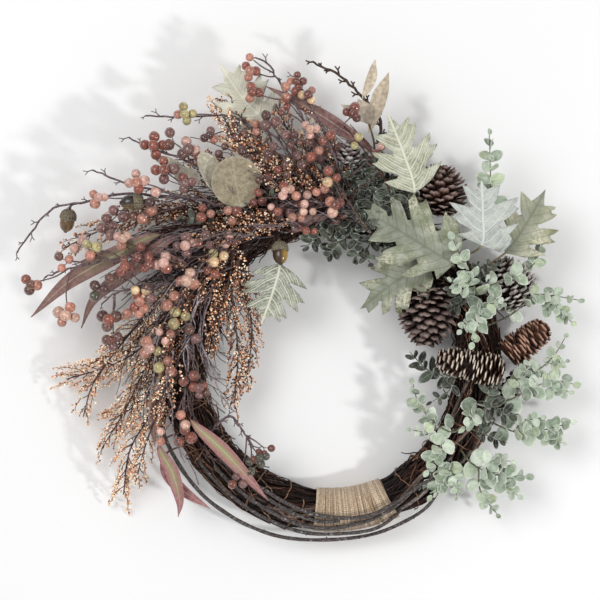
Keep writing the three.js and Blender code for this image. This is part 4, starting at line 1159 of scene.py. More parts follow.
EUCALYPTUS_STEPS = 4
EUCALYPTUS_SHADES = shades_of("b0bfab a2b29d c4d0bd b6c4a2 93a38e afbea5 82927d ccd7c6")
DARK_SHADES = shades_of("32352b 404337 24261f 525a4c 6c7768 3c3a2d")
EUCALYPTUS = {
    # root, then for each stem: where it leaves the first, its points, its leaf size and its pairs
    "eucalyptus_top": (46, [(None, [(158, 140, 60), (159, 177, 66), (158, 226, 62)], 13, 4)]),
    "eucalyptus_upper_right": (28, [(None, [(168, 80, 72), (200, 96, 68), (213, 122, 58)], 14, 3)]),
    "eucalyptus_centre": (24, [(None, [(146, 66, 60), (134, 92, 84), (120, 122, 92)], 15, 3)]),
    "eucalyptus_middle": (18, [(None, [(150, 58, 66), (146, 40, 84), (140, 20, 84)], 15, 3)]),
    "eucalyptus_right": (
        12,
        [
            (None, [(182, 48, 46), (204, 67, 54), (230, 65, 52), (248, 62, 46)], 14, 3),
            (0.6, [(226, 52, 48), (242, 40, 44)], 12, 2),
        ],
    ),
    "eucalyptus_side": (-8, [(None, [(186, -24, 50), (210, -6, 54), (226, 10, 50), (235, 24, 44)], 12, 3)]),
    "eucalyptus_side_low": (
        -14,
        [(None, [(176, -38, 54), (200, -26, 60), (222, -18, 56), (243, -22, 46)], 17, 3)],
    ),
    "eucalyptus_low_right": (
        -20,
        [(None, [(165, -62, 44), (187, -70, 50), (212, -68, 48), (241, -61, 40)], 16, 4)],
    ),
    "eucalyptus_bottom_right": (
        -32,
        [
            (None, [(140, -100, 50), (164, -112, 50), (196, -115, 40)], 17, 3),
            (0.45, [(151, -130, 40), (168, -153, 30)], 13, 2),
        ],
    ),
    "eucalyptus_bottom": (-38, [(None, [(122, -104, 48), (112, -120, 44), (102, -134, 40)], 14, 3)]),
    "eucalyptus_inner": (
        -22,
        [
            (None, [(122, -70, 50), (102, -58, 52), (88, -40, 48), (83, -22, 42)], 15, 3),
            (0.3, [(106, -90, 56), (97, -108, 53)], 15, 2),
        ],
    ),
    "eucalyptus_ring": (-14, [(None, [(146, -44, 50), (140, -56, 62), (133, -64, 60)], 15, 2)]),
}


class Draws:
    """The part's own series of draws, so that repeats land where its solids are."""

    def __init__(self, seed):
        self.state = seed

    def __call__(self):
        self.state = self.state * 48271 % 2147483647
        return self.state / 2147483647


def on_stem(points, steps, along):
    place = along * steps
    before = min(int(place), steps - 1)
    ends = smooth_path(points, [before / steps, (before + 1) / steps])
    return ends[0] + (ends[1] - ends[0]) * (place - before)


def spot(points, along):
    return smooth_path(points, [along])[0]


def heading(points, along):
    two = smooth_path(points, [max(0, along - 0.002), min(1, along + 0.002)])
    return unit(two[1] - two[0])


def leaf_pairs(points, leaf, pairs, first, draw, at_stem, falling=0.5):
    """The leaves of one stem: base, tip, lean and width of each, in pairs that turn up the stem."""
    made = []
    for pair in range(pairs + 1):
        along = first + (1 - first) * pair / pairs
        base = at_stem(along)
        tangent = heading(points, along)
        side = beside(tangent)
        size = leaf * (1 - falling * pair / pairs)
        swing = math.radians(12 if pair % 2 == 0 else 72) + 0.5 * (draw() - 0.5)
        for hand in [0] if pair == pairs else [-1, 1]:
            out = abs(hand)
            direction = tangent * (1 if hand == 0 else 0.45) + side * (out * hand * math.cos(swing))
            direction = unit(direction + UP * (out * (1 if hand > 0 else -0.35) * math.sin(swing)))
            lean = UP + side * (1.5 * (draw() - 0.5)) + tangent * (1.3 * (draw() - 0.5) - 0.2)
            length = size * (0.9 + 0.25 * draw())
            made.append((base, base + direction * length, lean, length * (0.7 + 0.2 * draw())))
    return made


def add_leaves(gathering, leaves, shades, light):
    bases, tips, leans, widths = (np.array(column) for column in zip(*leaves))
    curls = rng.uniform(-0.05, 0.25, len(leaves))
    tones = picks(shades, len(leaves)) * chance(*light, len(leaves))
    widths = widths * (0.72 if shades is DARK_SHADES else 1.1)
    places = leaf_places(SMALL_LEAF, bases, tips, leans, widths, curls)
    keep_above(places, 0.5)
    gathering.add(SMALL_LEAF, places, tones)


def leafy_stem(gathering, points, leaf, pairs, first, seed, side_twigs, shades, light):
    """A stem with its pairs of leaves, and smaller leaves in pairs on a few side twigs."""
    extra = Draws(seed)
    between = leaf_pairs(points, leaf, pairs * 2, first + 0.05, extra, lambda u: spot(points, u), 0.4)
    add_leaves(gathering, between[2:-1], shades, light)
    gathering.rods([curve(points, 24)], (1.2, 0.45), "7d7f6c", 1)
    for twig in range(side_twigs):
        along = first + 0.1 + 0.26 * twig
        tangent = heading(points, along)
        side = beside(tangent) * (1 if twig % 2 else -1)
        start = spot(points, along)
        reach = leaf * (2.1 - 0.4 * twig)
        bend = start + (side * 0.75 + tangent * 0.5) * reach * 0.5 + UP * 4 * (extra() - 0.4)
        stop = bend + (side * 0.45 + tangent * 0.9) * reach * 0.5 + UP * 5 * (extra() - 0.5)
        bent = [start, bend, stop]
        small = leaf_pairs(bent, leaf * 0.72, 3, 0.3, extra, lambda u: spot(bent, u))
        add_leaves(gathering, small, shades, light)
        gathering.rods([curve(bent, 8)], (0.6, 0.35), "7d7f6c", 1, 5)


# the sprays with fewer side twigs than the usual two
SIDE_TWIGS = {
    "eucalyptus_top": 1, "eucalyptus_centre": 1, "eucalyptus_inner": 1, "eucalyptus_upper_right": 0,
    "eucalyptus_ring": 0,
}
for index, (name, (root, stems)) in enumerate(EUCALYPTUS.items()):
    spray = Gathering()
    main = from_ring(root, stems[0][1])
    for k, (leaves_from, points, leaf, pairs) in enumerate(stems):
        points = np.vstack([on_stem(main, EUCALYPTUS_STEPS, leaves_from), points]) if k else main
        first = 0.3 if k else 0.36
        draw = Draws(101 + 7 * index + k)
        leaves = leaf_pairs(points, leaf, pairs, first, draw, lambda u: on_stem(points, EUCALYPTUS_STEPS, u))
        add_leaves(spray, leaves, EUCALYPTUS_SHADES, (0.86, 1.2))
        leaf *= 1.35 if name == "eucalyptus_top" else 1
        seed, side_twigs = 3001 + 17 * index + k, 0 if k else SIDE_TWIGS.get(name, 2)
        leafy_stem(spray, points, leaf, pairs, first, seed, side_twigs, EUCALYPTUS_SHADES, (0.8, 1.16))
    spray.close(name + "_spray", [frosted_leaf, ring_twig], "eucalyptus", [name])

# Darker sprigs that fill between the berries, the oak leaves and the cones.
DARK_SPRIGS = {
    # for each sprig: root, points, leaf size, pairs
    "dark_sprigs_top": [
        (82, [(30, 156, 58), (38, 168, 66), (30, 190, 68)], 13, 4),
        (88, [(14, 136, 58), (8, 120, 58), (-4, 104, 50)], 13, 4),
        (72, [(50, 130, 62), (58, 118, 64), (60, 100, 56)], 14, 3),
        (76, [(48, 154, 66), (62, 164, 72), (68, 178, 66)], 14, 3),
        (90, [(14, 166, 62), (8, 178, 70), (-6, 188, 66)], 12, 3),
        (84, [(20, 134, 66), (28, 116, 66), (24, 98, 56)], 13, 4),
        (78, [(30, 140, 72), (22, 150, 80), (8, 148, 78)], 12, 3),
        (68, [(66, 150, 66), (80, 166, 66), (98, 176, 60)], 14, 4),
        (74, [(42, 124, 60), (36, 108, 58), (44, 92, 50)], 13, 3),
        (92, [(-8, 136, 60), (-16, 122, 58), (-28, 112, 50)], 12, 3),
        (96, [(-16, 160, 56), (-26, 180, 60), (-22, 202, 58)], 12, 3),
        (102, [(-34, 160, 54), (-50, 184, 58), (-50, 206, 54)], 12, 3),
        (86, [(8, 170, 58), (2, 194, 60), (-10, 214, 58)], 12, 3),
        (114, [(-76, 150, 56), (-100, 170, 60), (-122, 176, 56)], 12, 3),
        (124, [(-104, 128, 56), (-130, 142, 60), (-156, 144, 54)], 12, 3),
        (80, [(32, 170, 56), (32, 192, 58), (24, 212, 56)], 14, 4),
        (72, [(54, 172, 56), (62, 190, 58), (58, 208, 56)], 14, 4),
        (76, [(44, 180, 60), (48, 196, 62), (42, 206, 60)], 14, 3),
        (66, [(76, 160, 54), (88, 180, 54), (86, 200, 52)], 13, 3),
        (84, [(14, 180, 56), (14, 200, 58), (4, 220, 56)], 13, 3),
    ],
    "dark_sprigs_right": [
        (20, [(132, 62, 56), (124, 72, 62), (118, 86, 66)], 13, 3),
        (-2, [(136, -12, 48), (116, -14, 48), (98, -8, 44), (80, 10, 40)], 13, 4),
        (-26, [(150, -70, 54), (164, -76, 60), (176, -80, 56)], 13, 3),
        (-16, [(156, -40, 56), (170, -50, 62), (186, -54, 58)], 13, 3),
        (30, [(150, 84, 60), (160, 96, 66), (172, 100, 62)], 12, 3),
    ],
}
for name, sprigs in DARK_SPRIGS.items():
    spray = Gathering()
    for index, (root, points, leaf, pairs) in enumerate(sprigs):
        points = from_ring(root, points)
        leaf *= 1.4 if index % 2 else 1
        seed = 7001 + 31 * index + len(sprigs)
        leafy_stem(spray, points, leaf, pairs, 0.3, seed, 1, DARK_SHADES, (0.4, 1.2))
    spray.close(name, [dark_leaf, ring_twig], "eucalyptus")

# The acorns
# Real acorns: a glossy nut that is painted paler and yellower on one side, partly its own colour and
# partly a painted highlight, in a rough scaly cup with a stalk.
ACORN_LENGTH = 24
NUT_RADIUS = 7.4
CUP_RADIUS = 8.6
CUP_DEPTH = 8.4
bpy.ops.object.select_all(action="DESELECT")
bpy.ops.mesh.primitive_uv_sphere_add(segments=20, ring_count=16, radius=1)
made = bpy.context.object
edit(made, "VERT", lambda v: v.co.z < -0.97)
bpy.ops.transform.translate(value=(0, 0, -0.09))
done()
edit(made, "VERT", lambda v: -0.995 < v.co.z < -0.9)
bpy.ops.transform.resize(value=(0.86, 0.86, 1), center_override=(0, 0, 0))
done()
NUT = pattern_of(made)
bpy.ops.mesh.primitive_uv_sphere_add(segments=18, ring_count=14, radius=1)
made = bpy.context.object
edit(made, "FACE", lambda f: f.center.z < -0.12)
bpy.ops.mesh.delete(type="FACE")
done()
edit(made, "FACE", lambda f: f.center.z < 0.9)
bpy.ops.mesh.inset(thickness=0.035, use_individual=True)
bpy.ops.mesh.extrude_faces_move(TRANSFORM_OT_shrink_fatten={"value": 0.09})
done()
edit(made, "VERT", lambda v: True)
bpy.ops.mesh.remove_doubles(threshold=0.0001)
bpy.ops.mesh.normals_make_consistent(inside=False)
done()
apply_modifier(made, "SOLIDIFY", thickness=0.1, offset=-1)
CUP = pattern_of(made)


def nut_material(name, lit_side_colour):
    material, tree, shader = new_material(name, 0.5)
    height = own(tree)
    grain = object_noise(tree, 380.0, 4.0, (1, 1, 0.3))
    # One side of the nut is painted paler and yellower: partly its own colour, partly a painted highlight.
    skin = mixed(tree, ranged(tree, height["X"], 0.1, 0.9, 0.0, 0.9), tone(tree), colour(lit_side_colour))
    skin = mottled(tree, skin, grain, (0.3, 0.7), (0.6, 0.55, 0.5), (1.3, 1.3, 1.3))
    skin = mixed(tree, ranged(tree, height["Z"], -0.9, -1.0, 0.0, 0.8), skin, colour("3a2716"))
    fill(tree, shader, {"Base Color": skin, "Roughness": 0.28, "Coat Weight": 0.4})
    return material


yellow_nut = nut_material("acorn_nut_yellow", "c9a24e")
brown_nut = nut_material("acorn_nut_brown", "8d7a58")
acorn_cup, tree, shader = new_material("acorn_cup")
rough = object_noise(tree, 700.0, 4.0)
skin = mixed(tree, ranged(tree, rough, 0.3, 0.7), colour("574b3d"), colour("a39a85"))
fill(tree, shader, {"Base Color": skin, "Normal": bump(tree, rough, 0.7, 0.0006), "Roughness": 0.85})

ACORNS = [
    ("acorn_left", (-260, 153, 48), (-265, 130, 42), "6b5339", None),
    ("acorn_centre", (-50, 117, 71), (-49, 97, 76), "453322", [on_ring(110), (-52, 124, 64), (-50, 108, 73)]),
    # only this dressed version has the last one
    (
        "acorn_dark", (-184, 160, 71), (-208, 158, 72), "2c241f",
        [(-172, 166, 62), (-177, 163, 68), (-186, 160, 71)],
    ),
]
for name, top, bottom, code, stalk in ACORNS:
    top, bottom = np.array(top, dtype=float), np.array(bottom, dtype=float)
    axis = unit(top - bottom)
    first = beside(axis)
    turned = np.stack([first, np.cross(axis, first), axis])
    nut_middle = bottom + axis * (ACORN_LENGTH * 0.43)
    cup_middle = bottom + axis * (ACORN_LENGTH - CUP_RADIUS)
    acorn = Gathering()
    nut_shape = NUT[0] * [NUT_RADIUS, NUT_RADIUS, ACORN_LENGTH * 0.42]
    cup_shape = CUP[0] * [CUP_RADIUS * 0.93, CUP_RADIUS * 0.93, CUP_DEPTH]
    acorn.add(NUT, [nut_middle + nut_shape @ turned], code)
    acorn.add(CUP, [cup_middle + cup_shape @ turned], "8d7b66", 1)
    acorn.rods([np.linspace(cup_middle + axis * 7.0, cup_middle + axis * 11.2, 4)], (1.6, 1.2), "5b5140", 2)
    if stalk:
        acorn.rods([curve(stalk, 12)], (1.5, 1.2), "4e423a", 2)
    finish = yellow_nut if name == "acorn_centre" else brown_nut
    nodes = [] if name == "acorn_dark" else [name]
    acorn.close(name + "_nut", [finish, acorn_cup, ring_twig], "acorn", nodes)

# The berry stems
# Grey-brown wired stems with short forked twigs, and at their ends bunches of glossy berries, some
# salmon and peach, others rust, burgundy, mauve or green, with a dark spot at the tip of each.
bpy.ops.mesh.primitive_uv_sphere_add(segments=10, ring_count=7, radius=1)
made = bpy.context.object
edit(made, "VERT", lambda v: v.co.z > 0.99)
bpy.ops.transform.translate(value=(0, 0, -0.16))
done()
BERRY = pattern_of(made)
BERRY_RADIUS = 5.2

berry_skin, tree, shader = new_material("berry_skin", 0.35)
height = own(tree)["Z"]
mottle = object_noise(tree, 210.0, 4.0)
fine = object_noise(tree, 900.0, 2.0)
skin = mottled(tree, tone(tree), mottle, (0.32, 0.64), (0.68, 0.52, 0.47), (1.16, 1.15, 1.13))
skin = mixed(tree, ranged(tree, fine, 0.58, 0.72, 0.0, 0.3), skin, colour("7c3f33"))
skin = mixed(tree, ranged(tree, fine, 0.44, 0.36, 0.0, 0.3), skin, colour("efd3c6"))
skin = mixed(tree, ranged(tree, height, 0.86, 0.95, 0.0, 0.85), skin, colour("4a2a22"))
fill(tree, shader, {"Base Color": skin, "Normal": bump(tree, mottle, 0.15, 0.0004), "Roughness": 0.25})
fill(tree, shader, {"Coat Weight": 0.8, "Coat Roughness": 0.1, "Sheen Weight": 0.2})
fill(tree, shader, {"Subsurface Weight": 0.12, "Subsurface Radius": (0.003, 0.0015, 0.001)})
stem_bark = bark_material("stem_bark", 0.65, 0.3, "b3a8a6", 0.0005)

BERRY_COLOURS = {
    "salmon": "cb8f7b", "peach": "e2bca8", "rust": "944f3c", "brick": "7d3d30", "burgundy": "502a28",
    "mauve": "7b5653", "pink": "e2b9ad", "green": "434a3a", "lime": "b9b47e", "yellow": "f6dcae",
    "brown": "694537",
}
BERRY_STEMS = {
    # root, points, the part's bunches, then the small ones that only this dressed version has:
    # x, y, z, how many berries, and their colours
    "berry_stem_acorn": (
        120,
        [
            (-120, 158, 56), (-177, 166, 62), (-210, 167, 60), (-242, 160, 57), (-274, 154, 54),
            (-299, 130, 42), (-315, 109, 32),
        ],
        [
            (-230, 163, 68, 4, "salmon pink"), (-196, 159, 70, 3, "green brown"),
            (-181, 146, 66, 2, "salmon"), (-222, 137, 60, 3, "mauve"),
        ],
        [(-190, 150, 66, 3, "brown brick"), (-210, 148, 64, 2, "mauve")],
    ),
    "berry_stem_upper_left": (
        116,
        [(-110, 156, 66), (-170, 170, 76), (-201, 177, 72), (-236, 191, 64)],
        [
            (-191, 179, 80, 5, "pink salmon peach rust"), (-163, 190, 84, 5, "burgundy mauve rust"),
            (-142, 177, 86, 4, "rust mauve brick"),
        ],
        [
            (-124, 148, 74, 3, "salmon rust"), (-97, 146, 74, 3, "salmon brick"),
            (-174, 163, 78, 2, "burgundy pink"),
        ],
    ),
    "berry_stem_high_left": (
        112,
        [(-90, 170, 60), (-143, 200, 62), (-174, 212, 60), (-201, 224, 54)],
        [(-175, 215, 66, 5, "salmon rust green"), (-141, 212, 68, 4, "mauve pink brick")],
        [(-158, 222, 64, 2, "brown mauve"), (-128, 200, 66, 2, "rust")],
    ),
    "berry_stem_top_left": (
        100,
        [(-40, 190, 56), (-68, 222, 62), (-96, 243, 60), (-151, 244, 56), (-184, 246, 50)],
        [
            (-144, 247, 62, 5, "lime yellow salmon"), (-120, 225, 60, 4, "salmon burgundy mauve"),
            (-108, 211, 62, 2, "mauve brown"),
        ],
        [(-96, 232, 64, 2, "burgundy"), (-88, 222, 66, 3, "brick brown")],
    ),
    "berry_stem_top": (
        92,
        [(-8, 190, 56), (-30, 246, 74), (-50, 277, 70), (-62, 296, 64), (-74, 303, 60)],
        [
            (-80, 289, 66, 4, "rust salmon burgundy"), (-77, 267, 70, 4, "rust brick salmon"),
            (-44, 261, 78, 1, "rust"),
        ],
        [(-80, 303, 62, 1, "salmon"), (-46, 250, 76, 2, "brick"), (-26, 219, 76, 2, "brown")],
    ),
    "berry_stem_top_right": (
        86,
        [(8, 190, 74), (-8, 230, 84), (-24, 262, 80), (-34, 282, 74)],
        [
            (-33, 278, 80, 5, "brick salmon yellow"), (-22, 264, 84, 4, "yellow brick salmon"),
            (-20, 230, 86, 4, "salmon peach pink"), (-15, 206, 80, 2, "salmon rust"),
            (22, 246, 80, 4, "burgundy brick"),
        ],
        [
            (-40, 268, 80, 3, "brick salmon"), (26, 218, 84, 2, "rust lime"), (48, 210, 78, 2, "brick pink"),
            (-4, 222, 86, 2, "rust"),
        ],
    ),
    "dark_twig": (
        70,
        [
            (50, 220, 52), (49, 244, 54), (29, 268, 54), (17, 279, 54), (4, 290, 52), (-6, 293, 50),
            (-16, 300, 48),
        ],
        [],
        [],
    ),
    "berry_stem_middle": (
        96,
        [(-24, 176, 64), (-40, 206, 72), (-58, 226, 74), (-76, 234, 70)],
        [
            (-60, 239, 80, 3, "burgundy mauve"), (-75, 232, 76, 2, "salmon"),
            (-58, 209, 82, 2, "burgundy mauve"), (-40, 221, 80, 3, "mauve burgundy"),
            (-66, 182, 74, 2, "brick brown"),
        ],
        [(-46, 190, 78, 3, "brown brick"), (-30, 200, 80, 2, "mauve"), (-84, 205, 72, 2, "burgundy")],
    ),
    "berry_stem_front": (
        66,
        [(36, 134, 64), (10, 152, 82), (-20, 160, 84), (-50, 168, 80)],
        [
            (0, 183, 92, 3, "yellow salmon rust"), (4, 154, 90, 4, "salmon brick peach"),
            (-28, 162, 90, 3, "salmon pink"), (-44, 169, 88, 4, "pink peach rust"),
            (-22, 150, 88, 2, "salmon peach"),
        ],
        [
            (-11, 168, 74, 4, "brick rust"), (-24, 160, 72, 3, "rust brick"),
            (5, 165, 76, 3, "burgundy brown"), (-52, 150, 72, 3, "burgundy brown"),
            (-36, 144, 70, 3, "burgundy mauve"), (-25, 133, 70, 2, "brown brick"),
            (-72, 163, 70, 3, "brick rust"), (7, 145, 72, 3, "brick burgundy"),
            (-33, 143, 86, 2, "salmon peach"), (-20, 130, 84, 2, "salmon rust"),
            (-56, 150, 82, 2, "rust pink"), (-10, 170, 90, 2, "yellow salmon"),
        ],
    ),
    "berry_stem_left": (
        140,
        [(-150, 104, 62), (-200, 104, 84), (-240, 97, 82), (-268, 90, 76), (-283, 84, 70)],
        [
            (-297, 78, 66, 4, "rust salmon brown"), (-264, 100, 78, 3, "salmon brown"),
            (-236, 112, 82, 3, "lime salmon"), (-204, 121, 90, 4, "pink peach salmon"),
            (-261, 47, 70, 5, "salmon peach"),
        ],
        [(-222, 128, 84, 2, "mauve"), (-185, 108, 84, 3, "brick pink"), (-250, 118, 76, 2, "pink")],
    ),
    "berry_stem_left_low": (
        150,
        [(-160, 78, 66), (-190, 74, 76), (-214, 68, 78), (-226, 58, 74)],
        [
            (-229, 71, 80, 3, "green burgundy"), (-219, 43, 70, 4, "rust brown burgundy"),
            (-202, 95, 86, 4, "rust brick salmon"), (-179, 97, 84, 4, "rust pink"),
            (-216, 22, 62, 4, "mauve brown brick"), (-188, 60, 76, 5, "salmon peach rust"),
        ],
        [
            (-165, 99, 84, 4, "pink rust"), (-187, 73, 82, 2, "yellow"), (-179, 69, 80, 2, "mauve brown"),
            (-195, 48, 74, 2, "salmon"), (-212, 84, 80, 2, "brown"),
        ],
    ),
    "berry_stem_inner": (
        126,
        [(-100, 118, 70), (-130, 92, 72), (-146, 60, 70), (-140, 20, 68), (-146, -40, 62), (-150, -66, 54)],
        [
            (-143, 116, 84, 5, "pink rust mauve"), (-99, 120, 82, 4, "pink brick"),
            (-111, 104, 80, 3, "yellow rust lime"), (-141, 82, 80, 4, "salmon peach pink"),
            (-136, 28, 74, 2, "brown mauve"), (-178, 14, 64, 4, "salmon lime pink"),
            (-130, -26, 70, 4, "rust mauve"), (-163, -5, 64, 3, "salmon lime"),
            (-145, -74, 62, 3, "brick rust"), (-168, -74, 58, 2, "salmon pink"),
        ],
        [
            (-124, 120, 82, 3, "mauve lime rust"), (-156, 60, 76, 2, "salmon"),
            (-150, 44, 74, 3, "salmon lime"), (-164, 27, 72, 3, "pink salmon"), (-140, -16, 70, 2, "rust"),
            (-125, -26, 70, 2, "brown"), (-146, -57, 64, 2, "salmon peach"), (-118, 88, 78, 2, "rust"),
        ],
    ),
    "berry_stem_low": (
        212,
        [(-112, -62, 50), (-99, -54, 56), (-86, -70, 56), (-76, -84, 54)],
        [(-70, -95, 56, 5, "burgundy green peach brick"), (-92, -119, 60, 3, "rust mauve")],
        [(-62, -88, 56, 2, "burgundy brick"), (-78, -104, 56, 2, "green")],
    ),
}


def bunch_berries(bunch, draw):
    """Each berry of a bunch: its middle and its radius. A ring of berries, with one on top."""
    x, y, z, count = bunch[:4]
    start = 2 * math.pi * draw()
    around = count - 1 if count > 3 else count
    spread = 0 if around == 1 else BERRY_RADIUS * 1.02 / math.sin(math.pi / around)
    berries = []
    for i in range(around):
        angle = start + 2 * math.pi * (i + 0.3 * (draw() - 0.5)) / around
        radius = BERRY_RADIUS * (0.86 + 0.24 * draw())
        rise = z + 3 * (draw() - 0.5)
        berries.append(((x + spread * math.cos(angle), y + spread * math.sin(angle), rise), radius))
    if around < count:
        aside = (x + 2 * (draw() - 0.5), y + 2 * (draw() - 0.5), z + BERRY_RADIUS * 0.9)
        berries.append((aside, BERRY_RADIUS))
    return berries


def add_bunch(gathering, points, bunch, berries):
    """A bunch with its twig from the stem, and a short stalk to each of its berries."""
    middle = np.array(bunch[:3], dtype=float)
    size = rng.uniform(0.8, 1.02) if bunch[0] > -140 else rng.uniform(0.95, 1.2)
    places, radii = (np.array(column) for column in zip(*berries))
    places = middle + (places - middle) * size
    radii = (radii * size * rng.uniform(0.9, 1.05, len(berries)))[:, None]
    stem_points = curve(points, 50)
    nearest = np.argmin(np.linalg.norm(stem_points - middle, axis=1))
    start = stem_points[max(0, nearest - 7)]
    hub = middle + unit(start - middle) * 5 - UP * 3.5
    elbow = (start + hub) / 2 + rng.normal(0, 1.6, 3)
    gathering.rods([curve([start, elbow, hub], 8)], (0.9, 0.6), "7a6869", sides=5)
    bent = (hub + places) / 2 - UP * 1.2
    stalks = np.stack([np.broadcast_to(hub, places.shape), bent, places], axis=1)
    gathering.rods(stalks, 0.42, "7a6869", sides=4)
    outward = unit(places - hub + UP * 2 + rng.normal(0, 1.5, places.shape))
    first = unit(np.cross(outward, rng.normal(0, 1, places.shape)))
    copies = set_on(BERRY[0], places, first * radii, np.cross(outward, first) * radii, outward * radii)
    shades = shades_of(" ".join(BERRY_COLOURS[name] for name in bunch[4].split()))
    gathering.add(BERRY, copies, picks(shades, len(places)) * chance(0.66, 1.1, len(places)), 1)


def forked_spurs(points, spacing, length):
    """Short bare side twigs along a stem, each forked at its end."""
    path = smooth_path(points, np.linspace(0.2, 1, max(3, int(spacing))))
    ahead = unit(np.gradient(path, axis=0))
    side = beside(ahead) * np.where(np.arange(len(path)) % 2, 1, -1)[:, None]
    reach = length * chance(0.4, 1.0, len(path))
    knee = path + (side * 0.6 + ahead * 0.7) * reach * 0.5 + UP * rng.normal(0, 1.5, (len(path), 1))
    end = knee + (side * 0.2 + ahead * 0.9) * reach * 0.5
    fork = knee + (side * 1.0 + ahead * 0.2) * reach * 0.35
    return np.stack([path, knee, end], axis=1), np.stack([knee * 0.5 + path * 0.5, knee, fork], axis=1)


STEM_STEPS = 40
for index, (name, (root, points, bunches, small_bunches)) in enumerate(BERRY_STEMS.items()):
    draw = Draws(501 + 11 * index)
    points = from_ring(root, points)
    path = curve(points, STEM_STEPS)
    kinks = rng.normal(0, 0.5, path.shape) * np.clip(np.linspace(0, 4, STEM_STEPS + 1), 0, 1)[:, None]
    knots = 1 + 0.16 * np.abs(np.sin(np.linspace(0, 26, STEM_STEPS + 1)))
    spray = Gathering()
    code, thick = ("55473e", 1.3) if name == "dark_twig" else ("75666a", 1)
    spray.rods([path + kinks], np.linspace(1.55, 0.8, STEM_STEPS + 1) * knots * thick, code, sides=7)
    for twigs in forked_spurs(points, len(points) * 2.2, 12):
        spray.rods(twigs, (0.6 * thick**2, 0.4 * thick**2), code, sides=4)
    for bunch in bunches + small_bunches:
        berries = bunch_berries(bunch, draw)
        # the dark acorn lies where the part has its green and brown berries
        if bunch[4] != "green brown":
            add_bunch(spray, points, bunch, berries)
    if name == "berry_stem_acorn":
        holder = [spot(points, 0.66), (-259, 156, 53), (-260, 153, 48)]
        spray.rods([curve(holder, 6)], 1.0, code)
    spray.close(name + "_spray", [stem_bark, berry_skin], "berry", [name])

# The seed heads
# Drooping sprays of fine branchlets with short twiglets, each strung with small gilded seeds, from cream
# to copper, on grey-violet stems.
bpy.ops.mesh.primitive_ico_sphere_add(subdivisions=1, radius=1)
SEED = pattern_of(bpy.context.object)
SEED_RADIUS = 1.2
SEEDS_ON_TWIGLET = 3

seed_skin, tree, shader = new_material("seed_skin", 0.5)
fleck = object_noise(tree, 800.0, 2.0)
skin = mottled(tree, tone(tree), fleck, (0.35, 0.65), (0.86, 0.8, 0.76), (1.2, 1.2, 1.2))
fill(tree, shader, {"Base Color": skin, "Roughness": 0.22, "Coat Weight": 0.5, "Coat Roughness": 0.15})
PALE_SEEDS = shades_of("fff2de ffe0c0 fac49c fff8ea e8a884 fbd6b0 ae7658 ffe9c0")
DARK_SEEDS = shades_of("ffe8c8 eeb084 a86a4a fff2da 784838 dd9a70 5a3830 fdcfa6")

SEED_STEMS = {
    # root, points, width, branches of the part, rows of branchlets in this dressed version
    "seed_head_left": (158, [(-160, 50, 40), (-185, 18, 42), (-215, -2, 36), (-266, -18, 20)], 46, 7, 28),
    "seed_head_left_low": (
        166,
        [(-160, 20, 46), (-178, -20, 46), (-196, -44, 38), (-222, -60, 24)],
        44,
        7,
        26,
    ),
    "seed_head_bottom": (
        178,
        [(-158, -10, 56), (-178, -50, 54), (-200, -88, 44), (-208, -134, 24)],
        42,
        7,
        28,
    ),
    "seed_head_inner": (140, [(-100, 80, 56), (-96, 50, 56), (-92, 10, 50), (-96, -46, 36)], 28, 6, 40),
    "seed_head_top": (104, [(-48, 170, 62), (-70, 200, 66), (-96, 226, 62), (-112, 258, 52)], 40, 6, 36),
    "seed_head_upper_left": (
        128,
        [(-130, 150, 46), (-180, 150, 46), (-225, 134, 40), (-268, 114, 32)],
        36,
        6,
        30,
    ),
}
SEED_STEPS = 6
BRANCHLET_STEPS = 8


def way_of(points, along, index):
    """The stem's direction at a place, and the side to which its branchlet turns there."""
    tangent = heading(points, along)
    return tangent, beside(tangent) * (1 if index % 2 == 0 else -1)


def part_branches(points, width, branches, draw):
    """The branchlets that the part itself has, in the same places."""
    made = []
    for i in range(branches):
        along = 0.24 + 0.7 * (i + 0.5 * draw()) / branches
        start = on_stem(points, SEED_STEPS, along)
        tangent, side = way_of(points, along, i)
        reach = width * (1 - 0.45 * along) * (0.75 + 0.4 * draw())
        lift = 8 * (draw() - 0.35)
        bend = start + (tangent * 0.42 + side * 0.3) * reach + UP * lift
        stop = start + (tangent * 0.95 + side * 0.42) * reach + UP * (lift - 4)
        made.append([start, bend, stop])
    return made


def more_branches(points, width, rows, draw):
    """Finer branchlets between them, which fan out and droop."""
    made = []
    for i in range(rows):
        along = 0.2 + 0.78 * (i + 0.8 * draw()) / rows
        start = spot(points, along)
        tangent, side = way_of(points, along, i)
        reach = width * (1.02 - 0.5 * along) * (0.5 + 0.6 * draw())
        lift = 16 * (draw() - 0.45)
        fan = 0.1 + 0.6 * draw()
        bend = start + (tangent * 0.45 + side * fan * 0.6) * reach + UP * lift
        ahead = tangent * (0.9 + 0.2 * draw())
        stop = start + (ahead + side * fan * 0.9) * reach + UP * (lift - 5 - 6 * draw())
        made.append([start, bend, stop])
    return made


